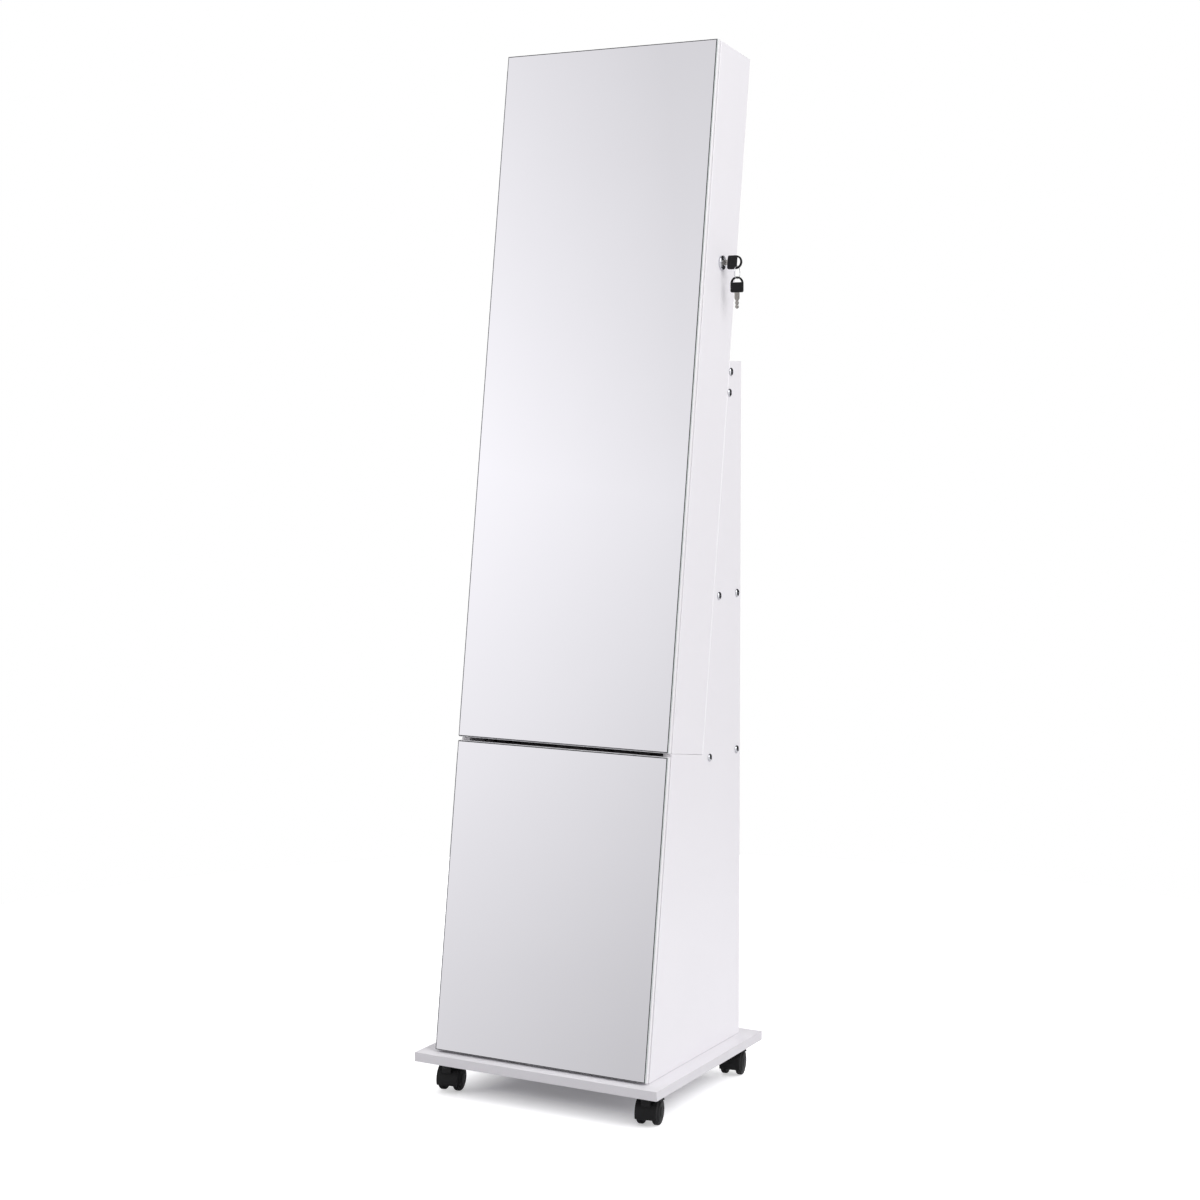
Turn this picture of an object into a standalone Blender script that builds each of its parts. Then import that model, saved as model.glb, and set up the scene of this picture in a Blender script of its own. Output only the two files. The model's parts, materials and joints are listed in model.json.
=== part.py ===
# Mirrored jewelry cabinet on castors: a shallow jewelry box with a full-length mirrored door
# leans back in the notch of a stand, over a small cupboard with a mirrored door of its own.
# Units are metres. X runs to the right, Y to the back and Z up, with the origin on the floor
# under the centre of the base board. Pieces that lean are modelled in the leaning frame, where
# Y is the depth behind the mirrors' face and Z runs up along that face.

import bpy
import bmesh
from math import acos, cos, pi, radians, sin, sqrt, tan
from mathutils import Matrix, Vector

# Overall sizes
HEIGHT = 1.615                  # floor to the top front edge of the upper mirror
BASE_WIDTH = 0.425
BASE_DEPTH = 0.360
BASE_THICK = 0.015
CASTOR_HEIGHT = 0.054           # floor to the underside of the base board
CABINET_WIDTH = 0.370
LEAN = radians(8.55)            # how far the mirrors lean back
FOOT_SETBACK = 0.0155           # front edge of the base to the foot of the mirrors' face
FIT = 0.0003                    # gap between pieces that touch
EDGE = 0.0006                   # eased edge of a board

# Stand
STAND_WALL = 0.015
STAND_TOP = 1.134
STAND_BACK_SETBACK = 0.028      # back edge of the base to the back edge of the stand
DECK_THICK = 0.015
DECK_INSET = 0.002              # deck and rear shelf stop short of the stand's edges
REAR_SHELF_THICK = 0.015
REAR_SHELF_HEIGHT = 0.7745      # floor to the middle of the rear shelf
RAIL_THICK = 0.012
RAIL_HEIGHT = 0.060
RAIL_DROP = 0.002               # top of the rail below the top of the stand
LOWER_BACK_THICK = 0.005
LOWER_BACK_INSET = 0.004

# Screws
SCREW_HEAD_RADIUS = 0.0062
SCREW_HEAD_HEIGHT = 0.0028
SCREW_RADIUS = 0.0025
SCREW_LENGTH = 0.045
SCREW_BACK = 0.0135             # rear screws from the back edge of the stand
SHELF_SCREW_FRONT = 0.0174      # front shelf screws from the shelf's front edge
DECK_SCREW_PITCH = 0.094
RAIL_SCREW_EDGE = 0.0138        # rail screws from the ends of the rail's height
HEAD_ANGLES = (0, radians(28), radians(58))      # points round a domed head

# Doors and hinges
GLASS = 0.003
DOOR_BOARD = 0.0067
MIRROR_INSET = 0.001            # glass stops short of the board's edges
FOOT_CLEAR = 0.0015             # lower door above the base board
LOWER_DOOR_HEIGHT = 0.4809
DOOR_GAP = 0.0051               # between the two doors
LEAF_THICK = 0.0007
LEAF_WIDTH = 0.0105             # leaf on the edge of the side board
HINGE_EDGE = 0.020              # ends of a long hinge from the ends of its door
UPPER_KNUCKLES = 13
LOWER_KNUCKLES = 7
KNUCKLE_RADIUS = 0.0027
HINGE_PIN_RADIUS = 0.0012

# Jewelry box
BOX_WALL = 0.012
BOX_DEPTH = 0.102               # front to back edge of the box's boards
BOX_BACK_THICK = 0.004
BOX_BACK_INSET = 0.002
NECKLACE_RAIL_SIZE = (0.310, 0.012, 0.026)
NECKLACE_RAIL_DROP = 0.055      # top of the box to the middle of the rail
PEG_COUNT = 8
PEG_PITCH = 0.038
PEG_LENGTH = 0.034
PEG_RADIUS = 0.003
PEG_KNOB_RADIUS = 0.005
BRACELET_BAR_RADIUS = 0.005
BRACELET_BAR_DEPTH = 0.060      # behind the mirrors' face
BRACELET_BAR_HEIGHT = 0.600     # above the bottom of the box
TRAY_THICK = 0.008
TRAY_SETBACK = 0.012            # shelves behind the front edges of the box
RING_TRAY_HEIGHT = 0.440
UPPER_TRAY_HEIGHT = 0.310
LOWER_TRAY_HEIGHT = 0.165
LIP_THICK = 0.005
LIP_HEIGHT = 0.030
RING_LIP_HEIGHT = 0.012
CUSHION_ROLLS = 5
CUSHION_HEIGHT = 0.026
CUSHION_BASE = 0.012            # height of the seam between two rolls
CUSHION_MARGIN = 0.004
CUSHION_END = 0.020             # length of each drawn-in end
CUSHION_END_SHARE = 0.72        # share of the height left at the ends
CUSHION_PULL = 0.15             # how much of that the front and back follow

# Lock and keys
LOCK_DEPTH = 0.064              # lock's axis behind the mirrors' face
LOCK_HEIGHT = 0.747             # lock's axis above the bottom of the box
FLANGE_RADIUS = 0.011
FLANGE_THICK = 0.003
BARREL_RADIUS = 0.009
BARREL_LENGTH = 0.025           # from the outside of the box
NUT_ACROSS_FLATS = 0.024
NUT_THICK = 0.005
PLUG_RADIUS = 0.006
TENON = 0.006                   # square end of the plug that carries the cam
CAM_LENGTH = 0.040
CAM_WIDTH = 0.014
CAM_THICK = 0.002
KEEPER_THICK = 0.002
KEEPER_HEIGHT = 0.018
KEEPER_RISE = 0.018             # keeper above the lock's axis
KEEPER_ROOM = 0.0075            # between the cam and the keeper's arm
KEEPER_GAP = 0.0025             # between the turned cam and the keeper's lip
KEEPER_LIP = 0.004              # lip past the cam
KEEPER_FOOT = 0.028
KEY_THICK = 0.0018
KEY_HEIGHT = 0.0078
KEY_DEPTH = 0.0175              # blade inside the plug
KEY_NECK = 0.007                # lock's face to the bow
KEY_SOCKET = 0.006              # blade inside the bow
KEY_SHOULDER = 0.010            # blade's full width, from the bow
KEY_BUMPS = 2
KEY_BUMP = 0.0056               # width over the bumps
KEY_WAIST = 0.0038              # width between the bumps
KEY_BUMP_PITCH = 0.006
BOW_LENGTH = 0.024
BOW_WIDTH = 0.021
BOW_THICK = 0.0034
BOW_RIM = 0.0026                # arched rim round the slot
BOW_SLOT = 0.0061               # slot along the bow
BOW_CORNER = 0.0025
RING_RADIUS = 0.0098
RING_WIRE = 0.0007
RING_CLEAR = 0.0003

# Castors
CASTOR_INSET_X = 0.037          # swivel axis from the base's sides
CASTOR_INSET_Y = 0.0385         # swivel axis from the base's front and back
CASTOR_TRAIL = 0.015
CASTOR_HEADING = radians(10)    # the wheels trail to the back, turned a little to the left
WHEEL_RADIUS = 0.020
WHEEL_GAP = 0.016               # between the two wheels
WHEEL_TREAD = 0.0085
WHEEL_DOME = 0.0025
WHEEL_ROUND = 0.0018            # rounding of the tread's edges
WHEEL_HUB_RADIUS = 0.009
AXLE_RADIUS = 0.003
WHEEL_SEGMENTS = 20
HOOD_WEB = 0.015
HOOD_WEB_RADIUS = 0.0135
HOOD_GAP = 0.0010
HOOD_THICK = 0.0023
HOOD_HALF_WIDTH = 0.017
HOOD_FRONT = radians(200)       # fender's ends, measured up from straight back
HOOD_BACK = radians(35)
WEB_STEP = radians(4)           # web stops short of the fender's ends
BOSS_RADIUS = 0.009
BOSS_HEIGHT = 0.010
NECK_FRONT = 0.007              # web's neck ahead of the swivel axis
KINGPIN_RADIUS = 0.004
KINGPIN_LENGTH = 0.008
PLATE_SIZE = 0.038
PLATE_THICK = 0.0025

# Places worked out from the sizes
HALF = CABINET_WIDTH / 2
BASE_TOP = CASTOR_HEIGHT + BASE_THICK
FOOT_Y = FOOT_SETBACK - BASE_DEPTH / 2
STAND_BACK = BASE_DEPTH / 2 - STAND_BACK_SETBACK
STAND_INNER = HALF - STAND_WALL
DOOR_THICK = GLASS + FIT + DOOR_BOARD
CARCASS = DOOR_THICK + 2 * LEAF_THICK + 3 * FIT      # depth of the boards' front edges
BOX_BACK = CARCASS + BOX_DEPTH
BOX_INNER = HALF - BOX_WALL
LOWER_FOOT = DOOR_THICK * tan(LEAN) + FOOT_CLEAR
LOWER_TOP = LOWER_FOOT + LOWER_DOOR_HEIGHT
BOX_FOOT = LOWER_TOP + DOOR_GAP                  # bottom of the upper door and of the box
BOX_TOP = (HEIGHT - BASE_TOP) / cos(LEAN)
BACK_FACE = BOX_BACK - BOX_BACK_INSET - BOX_BACK_THICK
SLACK = 2 * FIT                                  # wider gap where a round piece turns

# Finishes: colour, roughness, metallic
WHITE_BOARD = ((0.83, 0.83, 0.84), 0.45, 0.0)
MIRROR = ((0.78, 0.79, 0.81), 0.03, 1.0)
CHROME = ((0.70, 0.70, 0.72), 0.15, 1.0)
STEEL = ((0.52, 0.52, 0.54), 0.35, 1.0)
BLACK_PLASTIC = ((0.012, 0.012, 0.014), 0.40, 0.0)
FELT = ((0.010, 0.010, 0.011), 0.95, 0.0)
AXES = {"X": Vector((1, 0, 0)), "Y": Vector((0, 1, 0)), "Z": Vector((0, 0, 1))}
FAR_AXES = {"X": (1, 2, 0), "Y": (0, 2, 1), "Z": (0, 1, 2)}

for leftover in list(bpy.data.objects):
    bpy.data.objects.remove(leftover, do_unlink=True)


def leaned(x, depth, rise):
    """World point of a point in the leaning frame."""
    y = FOOT_Y + depth * cos(LEAN) + rise * sin(LEAN)
    z = BASE_TOP - depth * sin(LEAN) + rise * cos(LEAN)
    return Vector((x, y, z))


def lean_y(depth, z):
    """World Y, at a height, of the leaning plane at a depth behind the mirrors' face."""
    return FOOT_Y + (z - BASE_TOP) * tan(LEAN) + depth / cos(LEAN)


def as_object(name, bm):
    """Object holding a finished bmesh, with its faces turned outwards."""
    bmesh.ops.recalc_face_normals(bm, faces=bm.faces)
    mesh = bpy.data.meshes.new(name)
    bm.to_mesh(mesh)
    bm.free()
    obj = bpy.data.objects.new(name, mesh)
    bpy.context.scene.collection.objects.link(obj)
    return obj


def ease_edges(bm, width):
    """Chamfer the outward edges of a board."""
    sharp = [e for e in bm.edges if e.is_convex and e.calc_face_angle() > radians(30)]
    bmesh.ops.bevel(bm, geom=sharp, offset=width, segments=1, affect="EDGES")


def block(name, low, high, ease=0.0):
    """Board or bar between two opposite corners."""
    low, high = Vector(low), Vector(high)
    shape = Matrix.Translation((low + high) / 2) @ Matrix.Diagonal((*(high - low), 1))
    bm = bmesh.new()
    bmesh.ops.create_cube(bm, size=1.0, matrix=shape)
    if ease:
        bmesh.ops.recalc_face_normals(bm, faces=bm.faces)
        ease_edges(bm, ease)
    return as_object(name, bm)


def prism(name, outline, axis, low, high, ease=0.0):
    """Flat outline pushed along an axis. The outline's pairs are the other two axes in order."""
    first, second, along = FAR_AXES[axis]
    bm = bmesh.new()
    loop = []
    for a, b in outline:
        point = Vector((0, 0, 0))
        point[first], point[second], point[along] = a, b, low
        loop.append(bm.verts.new(point))
    face = bm.faces.new(loop)
    raised = bmesh.ops.extrude_face_region(bm, geom=[face])["geom"]
    moved = [v for v in raised if isinstance(v, bmesh.types.BMVert)]
    bmesh.ops.translate(bm, vec=AXES[axis] * (high - low), verts=moved)
    bmesh.ops.recalc_face_normals(bm, faces=bm.faces)
    if ease:
        ease_edges(bm, ease)
    return as_object(name, bm)


def turned(name, profile, axis, centre, segments, ring=False):
    """Profile of (radius, distance along the axis) pairs turned about an axis.
    A flat of the turned piece faces down, or forward when the axis is upright."""
    along, centre = AXES[axis], Vector(centre)
    side = AXES["Y"] if axis == "Z" else AXES["Z"]
    side = Matrix.Rotation(pi / segments, 3, along) @ -side
    bm = bmesh.new()
    verts = [bm.verts.new(centre + along * d + side * r) for r, d in profile]
    pairs = list(zip(verts, verts[1:]))
    if ring:
        pairs.append((verts[-1], verts[0]))
    edges = [bm.edges.new(pair) for pair in pairs]
    bmesh.ops.spin(bm, geom=verts + edges, cent=centre, axis=along, angle=2 * pi, steps=segments,
                   use_merge=True)
    bmesh.ops.remove_doubles(bm, verts=bm.verts, dist=1e-6)
    return as_object(name, bm)


def rod(name, axis, centre, low, high, radius, segments=12):
    """Plain round bar along an axis."""
    return turned(name, [(0, low), (radius, low), (radius, high), (0, high)], axis, centre, segments)


def arc(centre, radius, start, end, steps):
    """Points on an arc, from one angle to another."""
    angles = [start + (end - start) * i / steps for i in range(steps + 1)]
    return [(centre[0] + radius * cos(a), centre[1] + radius * sin(a)) for a in angles]


def group(name, pieces):
    """One object that holds several separate bodies."""
    bm = bmesh.new()
    for piece in pieces:
        bm.from_mesh(piece.data)
        bpy.data.objects.remove(piece, do_unlink=True)
    return as_object(name, bm)


def combine(target, other, operation):
    """Join another shape to an object, or cut it away, and keep the result as its mesh."""
    step = target.modifiers.new("combine", "BOOLEAN")
    step.operation = operation
    step.solver = "EXACT"
    step.object = other
    bpy.context.view_layer.update()
    graph = bpy.context.evaluated_depsgraph_get()
    result = bpy.data.meshes.new_from_object(target.evaluated_get(graph))
    target.modifiers.clear()
    target.data = result
    bpy.data.objects.remove(other, do_unlink=True)
    return target


def cut(target, cutters):
    return combine(target, group("cutters", cutters), "DIFFERENCE")


def fuse(target, others):
    for other in others:
        combine(target, other, "UNION")
    return target


def pivot(name, place, parent=None, turn=(0, 0, 0)):
    """Empty that carries pieces: a frame, or a joint's axis."""
    empty = bpy.data.objects.new(name, None)
    empty.location = place
    empty.rotation_euler = turn
    empty.parent = parent
    empty.empty_display_size = 0.03
    bpy.context.scene.collection.objects.link(empty)
    return empty


def settle(obj, finish, carrier=None, origin=(0, 0, 0), smooth=False):
    """Give an object its material, its origin at its middle, and the empty that carries it."""
    corners = [[v.co[i] for v in obj.data.vertices] for i in range(3)]
    middle = Vector([(min(c) + max(c)) / 2 for c in corners])
    obj.data.transform(Matrix.Translation(-middle))
    obj.location = middle - Vector(origin)
    obj.parent = carrier
    colour, roughness, metallic = finish
    paint = bpy.data.materials.new(obj.name)
    paint.use_nodes = True
    shader = paint.node_tree.nodes["Principled BSDF"]
    shader.inputs["Base Color"].default_value = (*colour, 1.0)
    shader.inputs["Roughness"].default_value = roughness
    shader.inputs["Metallic"].default_value = metallic
    obj.data.materials.clear()
    obj.data.materials.append(paint)
    if smooth:
        obj.data.shade_smooth()
        obj.data.set_sharp_from_angle(angle=radians(35))
    return obj


lean_frame = pivot("lean_frame", (0, FOOT_Y, BASE_TOP), turn=(-LEAN, 0, 0))

# Heights and places in the stand
deck_top = leaned(0, BOX_BACK, BOX_FOOT).z - FIT
deck_middle = deck_top - DECK_THICK / 2
deck_bottom = deck_top - DECK_THICK
shelf_top = REAR_SHELF_HEIGHT + REAR_SHELF_THICK / 2
shelf_front = lean_y(BOX_BACK + FIT, shelf_top)
rail_front = BOX_BACK + FIT
rail_top = (STAND_TOP - RAIL_DROP - BASE_TOP + rail_front * sin(LEAN)) / cos(LEAN)
rail_middle = rail_front + RAIL_THICK / 2
lower_back_front = STAND_BACK - LOWER_BACK_INSET - LOWER_BACK_THICK
screw_back_y = STAND_BACK - SCREW_BACK
rail_screws = {"rail_upper": leaned(0, rail_middle, rail_top - RAIL_SCREW_EDGE),
               "rail_lower": leaned(0, rail_middle, rail_top - RAIL_HEIGHT + RAIL_SCREW_EDGE)}
shelf_screws = {"shelf_rear": Vector((0, screw_back_y, REAR_SHELF_HEIGHT)),
                "shelf_front": Vector((0, shelf_front + SHELF_SCREW_FRONT, REAR_SHELF_HEIGHT))}
deck_screws = {"deck_rear": Vector((0, screw_back_y, deck_middle)),
               "deck_front": Vector((0, screw_back_y - DECK_SCREW_PITCH, deck_middle))}
side_screws = {**rail_screws, **shelf_screws, **deck_screws}
castor_x = BASE_WIDTH / 2 - CASTOR_INSET_X
castor_y = BASE_DEPTH / 2 - CASTOR_INSET_Y
castor_places = {"front_left": Vector((-castor_x, -castor_y, 0)),
                 "front_right": Vector((castor_x, -castor_y, 0)),
                 "back_left": Vector((-castor_x, castor_y, 0)),
                 "back_right": Vector((castor_x, castor_y, 0))}
plate_top = CASTOR_HEIGHT - FIT
plate_bottom = plate_top - PLATE_THICK


def screw_holes(places, side):
    """Cutters for the side screws, through the stand's side and into the board behind it."""
    reach = HALF + EDGE
    tip = HALF - SCREW_LENGTH - SLACK
    return [rod("hole", "X", (0, p.y, p.z), side * tip, side * reach, SCREW_RADIUS + FIT)
            for p in places.values()]


def both_holes(places):
    return screw_holes(places, -1) + screw_holes(places, 1)


def build_base():
    board = block("base_board", (-BASE_WIDTH / 2, -BASE_DEPTH / 2, CASTOR_HEIGHT),
                  (BASE_WIDTH / 2, BASE_DEPTH / 2, BASE_TOP), EDGE)
    settle(board, WHITE_BOARD)


def build_stand_side(side, name):
    foot = BASE_TOP + FIT
    notch_front = leaned(0, CARCASS, BOX_FOOT - FIT)
    notch_back = leaned(0, rail_front, BOX_FOOT - FIT)
    outline = [(lean_y(CARCASS, foot), foot), (notch_front.y, notch_front.z), (notch_back.y, notch_back.z),
               (lean_y(rail_front, STAND_TOP), STAND_TOP), (STAND_BACK, STAND_TOP), (STAND_BACK, foot)]
    inner, outer = sorted((side * STAND_INNER, side * HALF))
    panel = prism("stand_side_" + name, outline, "X", inner, outer, EDGE)
    settle(cut(panel, screw_holes(side_screws, side)), WHITE_BOARD)


def build_stand_boards():
    across = STAND_INNER - FIT
    deck = block("deck_board", (-across, lean_y(CARCASS, deck_top) + DECK_INSET, deck_bottom),
                 (across, STAND_BACK - DECK_INSET, deck_top), EDGE)
    settle(cut(deck, both_holes(deck_screws)), WHITE_BOARD)
    shelf = block("rear_shelf", (-across, shelf_front, shelf_top - REAR_SHELF_THICK),
                  (across, STAND_BACK - DECK_INSET, shelf_top), EDGE)
    settle(cut(shelf, both_holes(shelf_screws)), WHITE_BOARD)
    rail_bottom = rail_top - RAIL_HEIGHT
    rail = block("rear_top_rail", (-across, rail_front, rail_bottom),
                 (across, rail_front + RAIL_THICK, rail_top), EDGE)
    reach = HALF - SCREW_LENGTH - SLACK
    holes = [rod("hole", "X", (0, rail_middle, w), side * reach, side * HALF, SCREW_RADIUS + FIT)
             for side in (-1, 1) for w in (rail_top - RAIL_SCREW_EDGE, rail_bottom + RAIL_SCREW_EDGE)]
    settle(cut(rail, holes), WHITE_BOARD, lean_frame)
    panel = block("lower_back_panel", (-across, lower_back_front, BASE_TOP + FIT),
                  (across, lower_back_front + LOWER_BACK_THICK, deck_bottom - FIT))
    settle(panel, WHITE_BOARD)


def build_side_screws():
    """Screws whose domed heads show on the outside of the stand."""
    seat, tip = HALF + FIT, HALF - SCREW_LENGTH
    dome = [(SCREW_HEAD_RADIUS * cos(a), seat + SCREW_HEAD_HEIGHT * sin(a)) for a in HEAD_ANGLES]
    profile = [(0, tip), (SCREW_RADIUS, tip), (SCREW_RADIUS, seat)] + dome + [(0, seat + SCREW_HEAD_HEIGHT)]
    for side, label in ((-1, "left"), (1, "right")):
        for name, place in side_screws.items():
            screw = turned("screw_" + label + "_" + name, [(r, side * d) for r, d in profile], "X",
                           (0, place.y, place.z), 12)
            settle(screw, CHROME, smooth=True)


def build_box():
    for side, name in ((-1, "left"), (1, "right")):
        inner, outer = sorted((side * BOX_INNER, side * HALF))
        board = block("box_side_" + name, (inner, CARCASS, BOX_FOOT), (outer, BOX_BACK, BOX_TOP), EDGE)
        if side > 0:
            axis = (0, LOCK_DEPTH, BOX_FOOT + LOCK_HEIGHT)
            hole = rod("hole", "X", axis, BOX_INNER - EDGE, HALF + EDGE, BARREL_RADIUS + FIT, 16)
            cut(board, [hole])
        settle(board, WHITE_BOARD, lean_frame)
    across = BOX_INNER - FIT
    for name, low in (("box_top", BOX_TOP - BOX_WALL), ("box_bottom", BOX_FOOT)):
        board = block(name, (-across, CARCASS, low), (across, BOX_BACK, low + BOX_WALL), EDGE)
        settle(board, WHITE_BOARD, lean_frame)
    low, high = BOX_FOOT + BOX_WALL + FIT, BOX_TOP - BOX_WALL - FIT
    panel = block("box_back_panel", (-across, BACK_FACE, low), (across, BACK_FACE + BOX_BACK_THICK, high))
    settle(panel, WHITE_BOARD, lean_frame)


def build_necklace_rail():
    width, depth, height = NECKLACE_RAIL_SIZE
    middle = BOX_TOP - BOX_WALL - NECKLACE_RAIL_DROP
    back = BACK_FACE - FIT
    rail = block("necklace_rail", (-width / 2, back - depth, middle - height / 2),
                 (width / 2, back, middle + height / 2), EDGE)
    tip = back - depth - PEG_LENGTH
    knob = [(PEG_KNOB_RADIUS * sin(a), tip + PEG_KNOB_RADIUS * (1 - cos(a)))
            for a in (0, radians(50), radians(100))]
    root = back - depth / 2
    profile = knob + [(PEG_RADIUS, tip + 2 * PEG_KNOB_RADIUS), (PEG_RADIUS, root), (0, root)]
    first = -PEG_PITCH * (PEG_COUNT - 1) / 2
    fuse(rail, [turned("peg", profile, "Y", (first + PEG_PITCH * i, 0, middle), 8) for i in range(PEG_COUNT)])
    settle(rail, BLACK_PLASTIC, lean_frame, smooth=True)


def build_trays():
    across = BOX_INNER - FIT
    front = CARCASS + TRAY_SETBACK
    back = BACK_FACE - FIT
    for name, rise, lip in (("lower_tray", LOWER_TRAY_HEIGHT, LIP_HEIGHT),
                            ("upper_tray", UPPER_TRAY_HEIGHT, LIP_HEIGHT),
                            ("ring_tray", RING_TRAY_HEIGHT, RING_LIP_HEIGHT)):
        low = BOX_FOOT + rise
        floor, inner = low + TRAY_THICK, front + LIP_THICK
        outline = [(front, low), (back, low), (back, floor), (inner, floor), (inner, floor + lip),
                   (front, floor + lip)]
        settle(prism(name, outline, "X", -across, across, EDGE), WHITE_BOARD, lean_frame)
    bar = rod("bracelet_bar", "X", (0, BRACELET_BAR_DEPTH, BOX_FOOT + BRACELET_BAR_HEIGHT),
              -across, across, BRACELET_BAR_RADIUS, 16)
    settle(bar, CHROME, lean_frame, smooth=True)
    floor = BOX_FOOT + RING_TRAY_HEIGHT + TRAY_THICK + FIT
    build_cushion(floor, front + LIP_THICK + CUSHION_MARGIN, back - CUSHION_MARGIN)


def build_cushion(floor, front, back):
    """Ring cushion of soft rolls side by side, drawn in at its ends."""
    half = BOX_INNER - CUSHION_MARGIN
    roll = (back - front) / CUSHION_ROLLS / 2
    crown = CUSHION_HEIGHT - CUSHION_BASE
    section = [(front, floor), (front, floor + CUSHION_BASE)]
    for i in range(CUSHION_ROLLS):
        section += [(front + roll * (2 * i + 1 + cos(a)), floor + CUSHION_BASE + crown * sin(a))
                    for a in (radians(150), radians(115), radians(65), radians(30), 0)]
    section.append((back, floor))
    middle = (front + back) / 2
    ends = [(half - CUSHION_END * (1 - cos(a)), CUSHION_END_SHARE + (1 - CUSHION_END_SHARE) * sin(a))
            for a in (0, radians(30), radians(60), pi / 2)]
    bm = bmesh.new()
    rings = []
    for x, swell in [(-x, swell) for x, swell in ends] + ends[::-1]:
        pull = 1 - (1 - swell) * CUSHION_PULL
        rings.append([bm.verts.new((x, middle + (y - middle) * pull, floor + (z - floor) * swell))
                      for y, z in section])
    for ring, following in zip(rings, rings[1:]):
        for i in range(len(section)):
            j = (i + 1) % len(section)
            bm.faces.new((ring[i], ring[j], following[j], following[i]))
    bm.faces.new(rings[0])
    bm.faces.new(rings[-1])
    settle(as_object("ring_cushion", bm), FELT, lean_frame, smooth=True)


# Hinge axis on the left edge, in the leaning frame
hinge_x = -HALF - KNUCKLE_RADIUS - FIT
door_leaf_front = DOOR_THICK + FIT
fixed_leaf_front = door_leaf_front + LEAF_THICK + FIT
hinge_depth = fixed_leaf_front - FIT / 2
leaf_end = -HALF + LEAF_WIDTH


def hinge_leaf(name, front, low, high, knuckles, first):
    """Long hinge leaf. Every second knuckle from the first is its own, bored for the pin."""
    pitch = (high - low) / knuckles
    leaf = block(name, (-HALF, front, low), (leaf_end, front + LEAF_THICK, high))
    axis = (hinge_x, hinge_depth, 0)
    for i in range(first, knuckles, 2):
        start, end = low + i * pitch + SLACK / 2, low + (i + 1) * pitch - SLACK / 2
        tab = block("tab", (hinge_x, front, start), (leaf_end - LEAF_THICK, front + LEAF_THICK, end))
        fuse(leaf, [tab, rod("knuckle", "Z", axis, start, end, KNUCKLE_RADIUS)])
    reach = high - low
    return cut(leaf, [rod("bore", "Z", axis, low - reach, high + reach, HINGE_PIN_RADIUS + FIT)])


def build_hinge(door, name, low, high, knuckles):
    """Long hinge: one leaf on the edge of the left side, one on the back of the door."""
    fixed = hinge_leaf(name + "_hinge_fixed_leaf", fixed_leaf_front, low, high, knuckles, 0)
    settle(fixed, STEEL, lean_frame)
    moving = hinge_leaf(name + "_hinge_door_leaf", door_leaf_front, low, high, knuckles, 1)
    settle(moving, STEEL, door, door.location)
    pin = rod(name + "_hinge_pin", "Z", (hinge_x, hinge_depth, 0), low, high, HINGE_PIN_RADIUS)
    settle(pin, STEEL, lean_frame, smooth=True)


def build_door(carrier, name, low, high, knuckles):
    board = block(name + "_door_board", (-HALF, GLASS + FIT, low), (HALF, DOOR_THICK, high), EDGE)
    settle(board, WHITE_BOARD, carrier, carrier.location)
    edge = HALF - MIRROR_INSET
    glass = block(name + "_door_mirror", (-edge, 0, low + MIRROR_INSET),
                  (edge, GLASS, high - MIRROR_INSET), EDGE)
    settle(glass, MIRROR, carrier, carrier.location)
    build_hinge(carrier, name, low + HINGE_EDGE, high - HINGE_EDGE, knuckles)


def build_doors():
    upper = pivot("upper_door_hinge", (hinge_x, hinge_depth, BOX_FOOT), lean_frame)
    lower = pivot("lower_door_hinge", (hinge_x, hinge_depth, LOWER_FOOT), lean_frame)
    build_door(upper, "upper", BOX_FOOT, BOX_TOP, UPPER_KNUCKLES)
    build_door(lower, "lower", LOWER_FOOT, LOWER_TOP, LOWER_KNUCKLES)
    build_keeper(upper)


# Lock axis in the leaning frame, and the places along it
lock_axis = Vector((0, LOCK_DEPTH, BOX_FOOT + LOCK_HEIGHT))
lock_face = HALF + FIT + FLANGE_THICK
barrel_end = HALF - BARREL_LENGTH
cam_outer = barrel_end - FIT
cam_inner = cam_outer - CAM_THICK

# Places along a key, from the lock's face
arch_radius = BOW_WIDTH / 2
arch_middle = KEY_NECK + BOW_LENGTH - arch_radius
slot_radius = arch_radius - BOW_RIM
slot_edge = arch_middle + slot_radius - BOW_SLOT     # slot's straight edge


def build_keeper(door):
    """Bent plate on the door. Its lip lies behind the cam once the cam is turned up."""
    arm = cam_inner - KEEPER_ROOM - KEEPER_THICK
    front = DOOR_THICK + FIT
    lip = LOCK_DEPTH + CAM_WIDTH / 2 + KEEPER_GAP
    foot, tip = arm - KEEPER_FOOT, cam_outer + KEEPER_LIP
    outline = [(foot, front), (arm + KEEPER_THICK, front), (arm + KEEPER_THICK, lip), (tip, lip),
               (tip, lip + KEEPER_THICK), (arm, lip + KEEPER_THICK), (arm, front + KEEPER_THICK),
               (foot, front + KEEPER_THICK)]
    low = lock_axis.z + KEEPER_RISE
    keeper = prism("lock_keeper", outline, "Z", low, low + KEEPER_HEIGHT)
    settle(keeper, STEEL, door, door.location)


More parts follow.
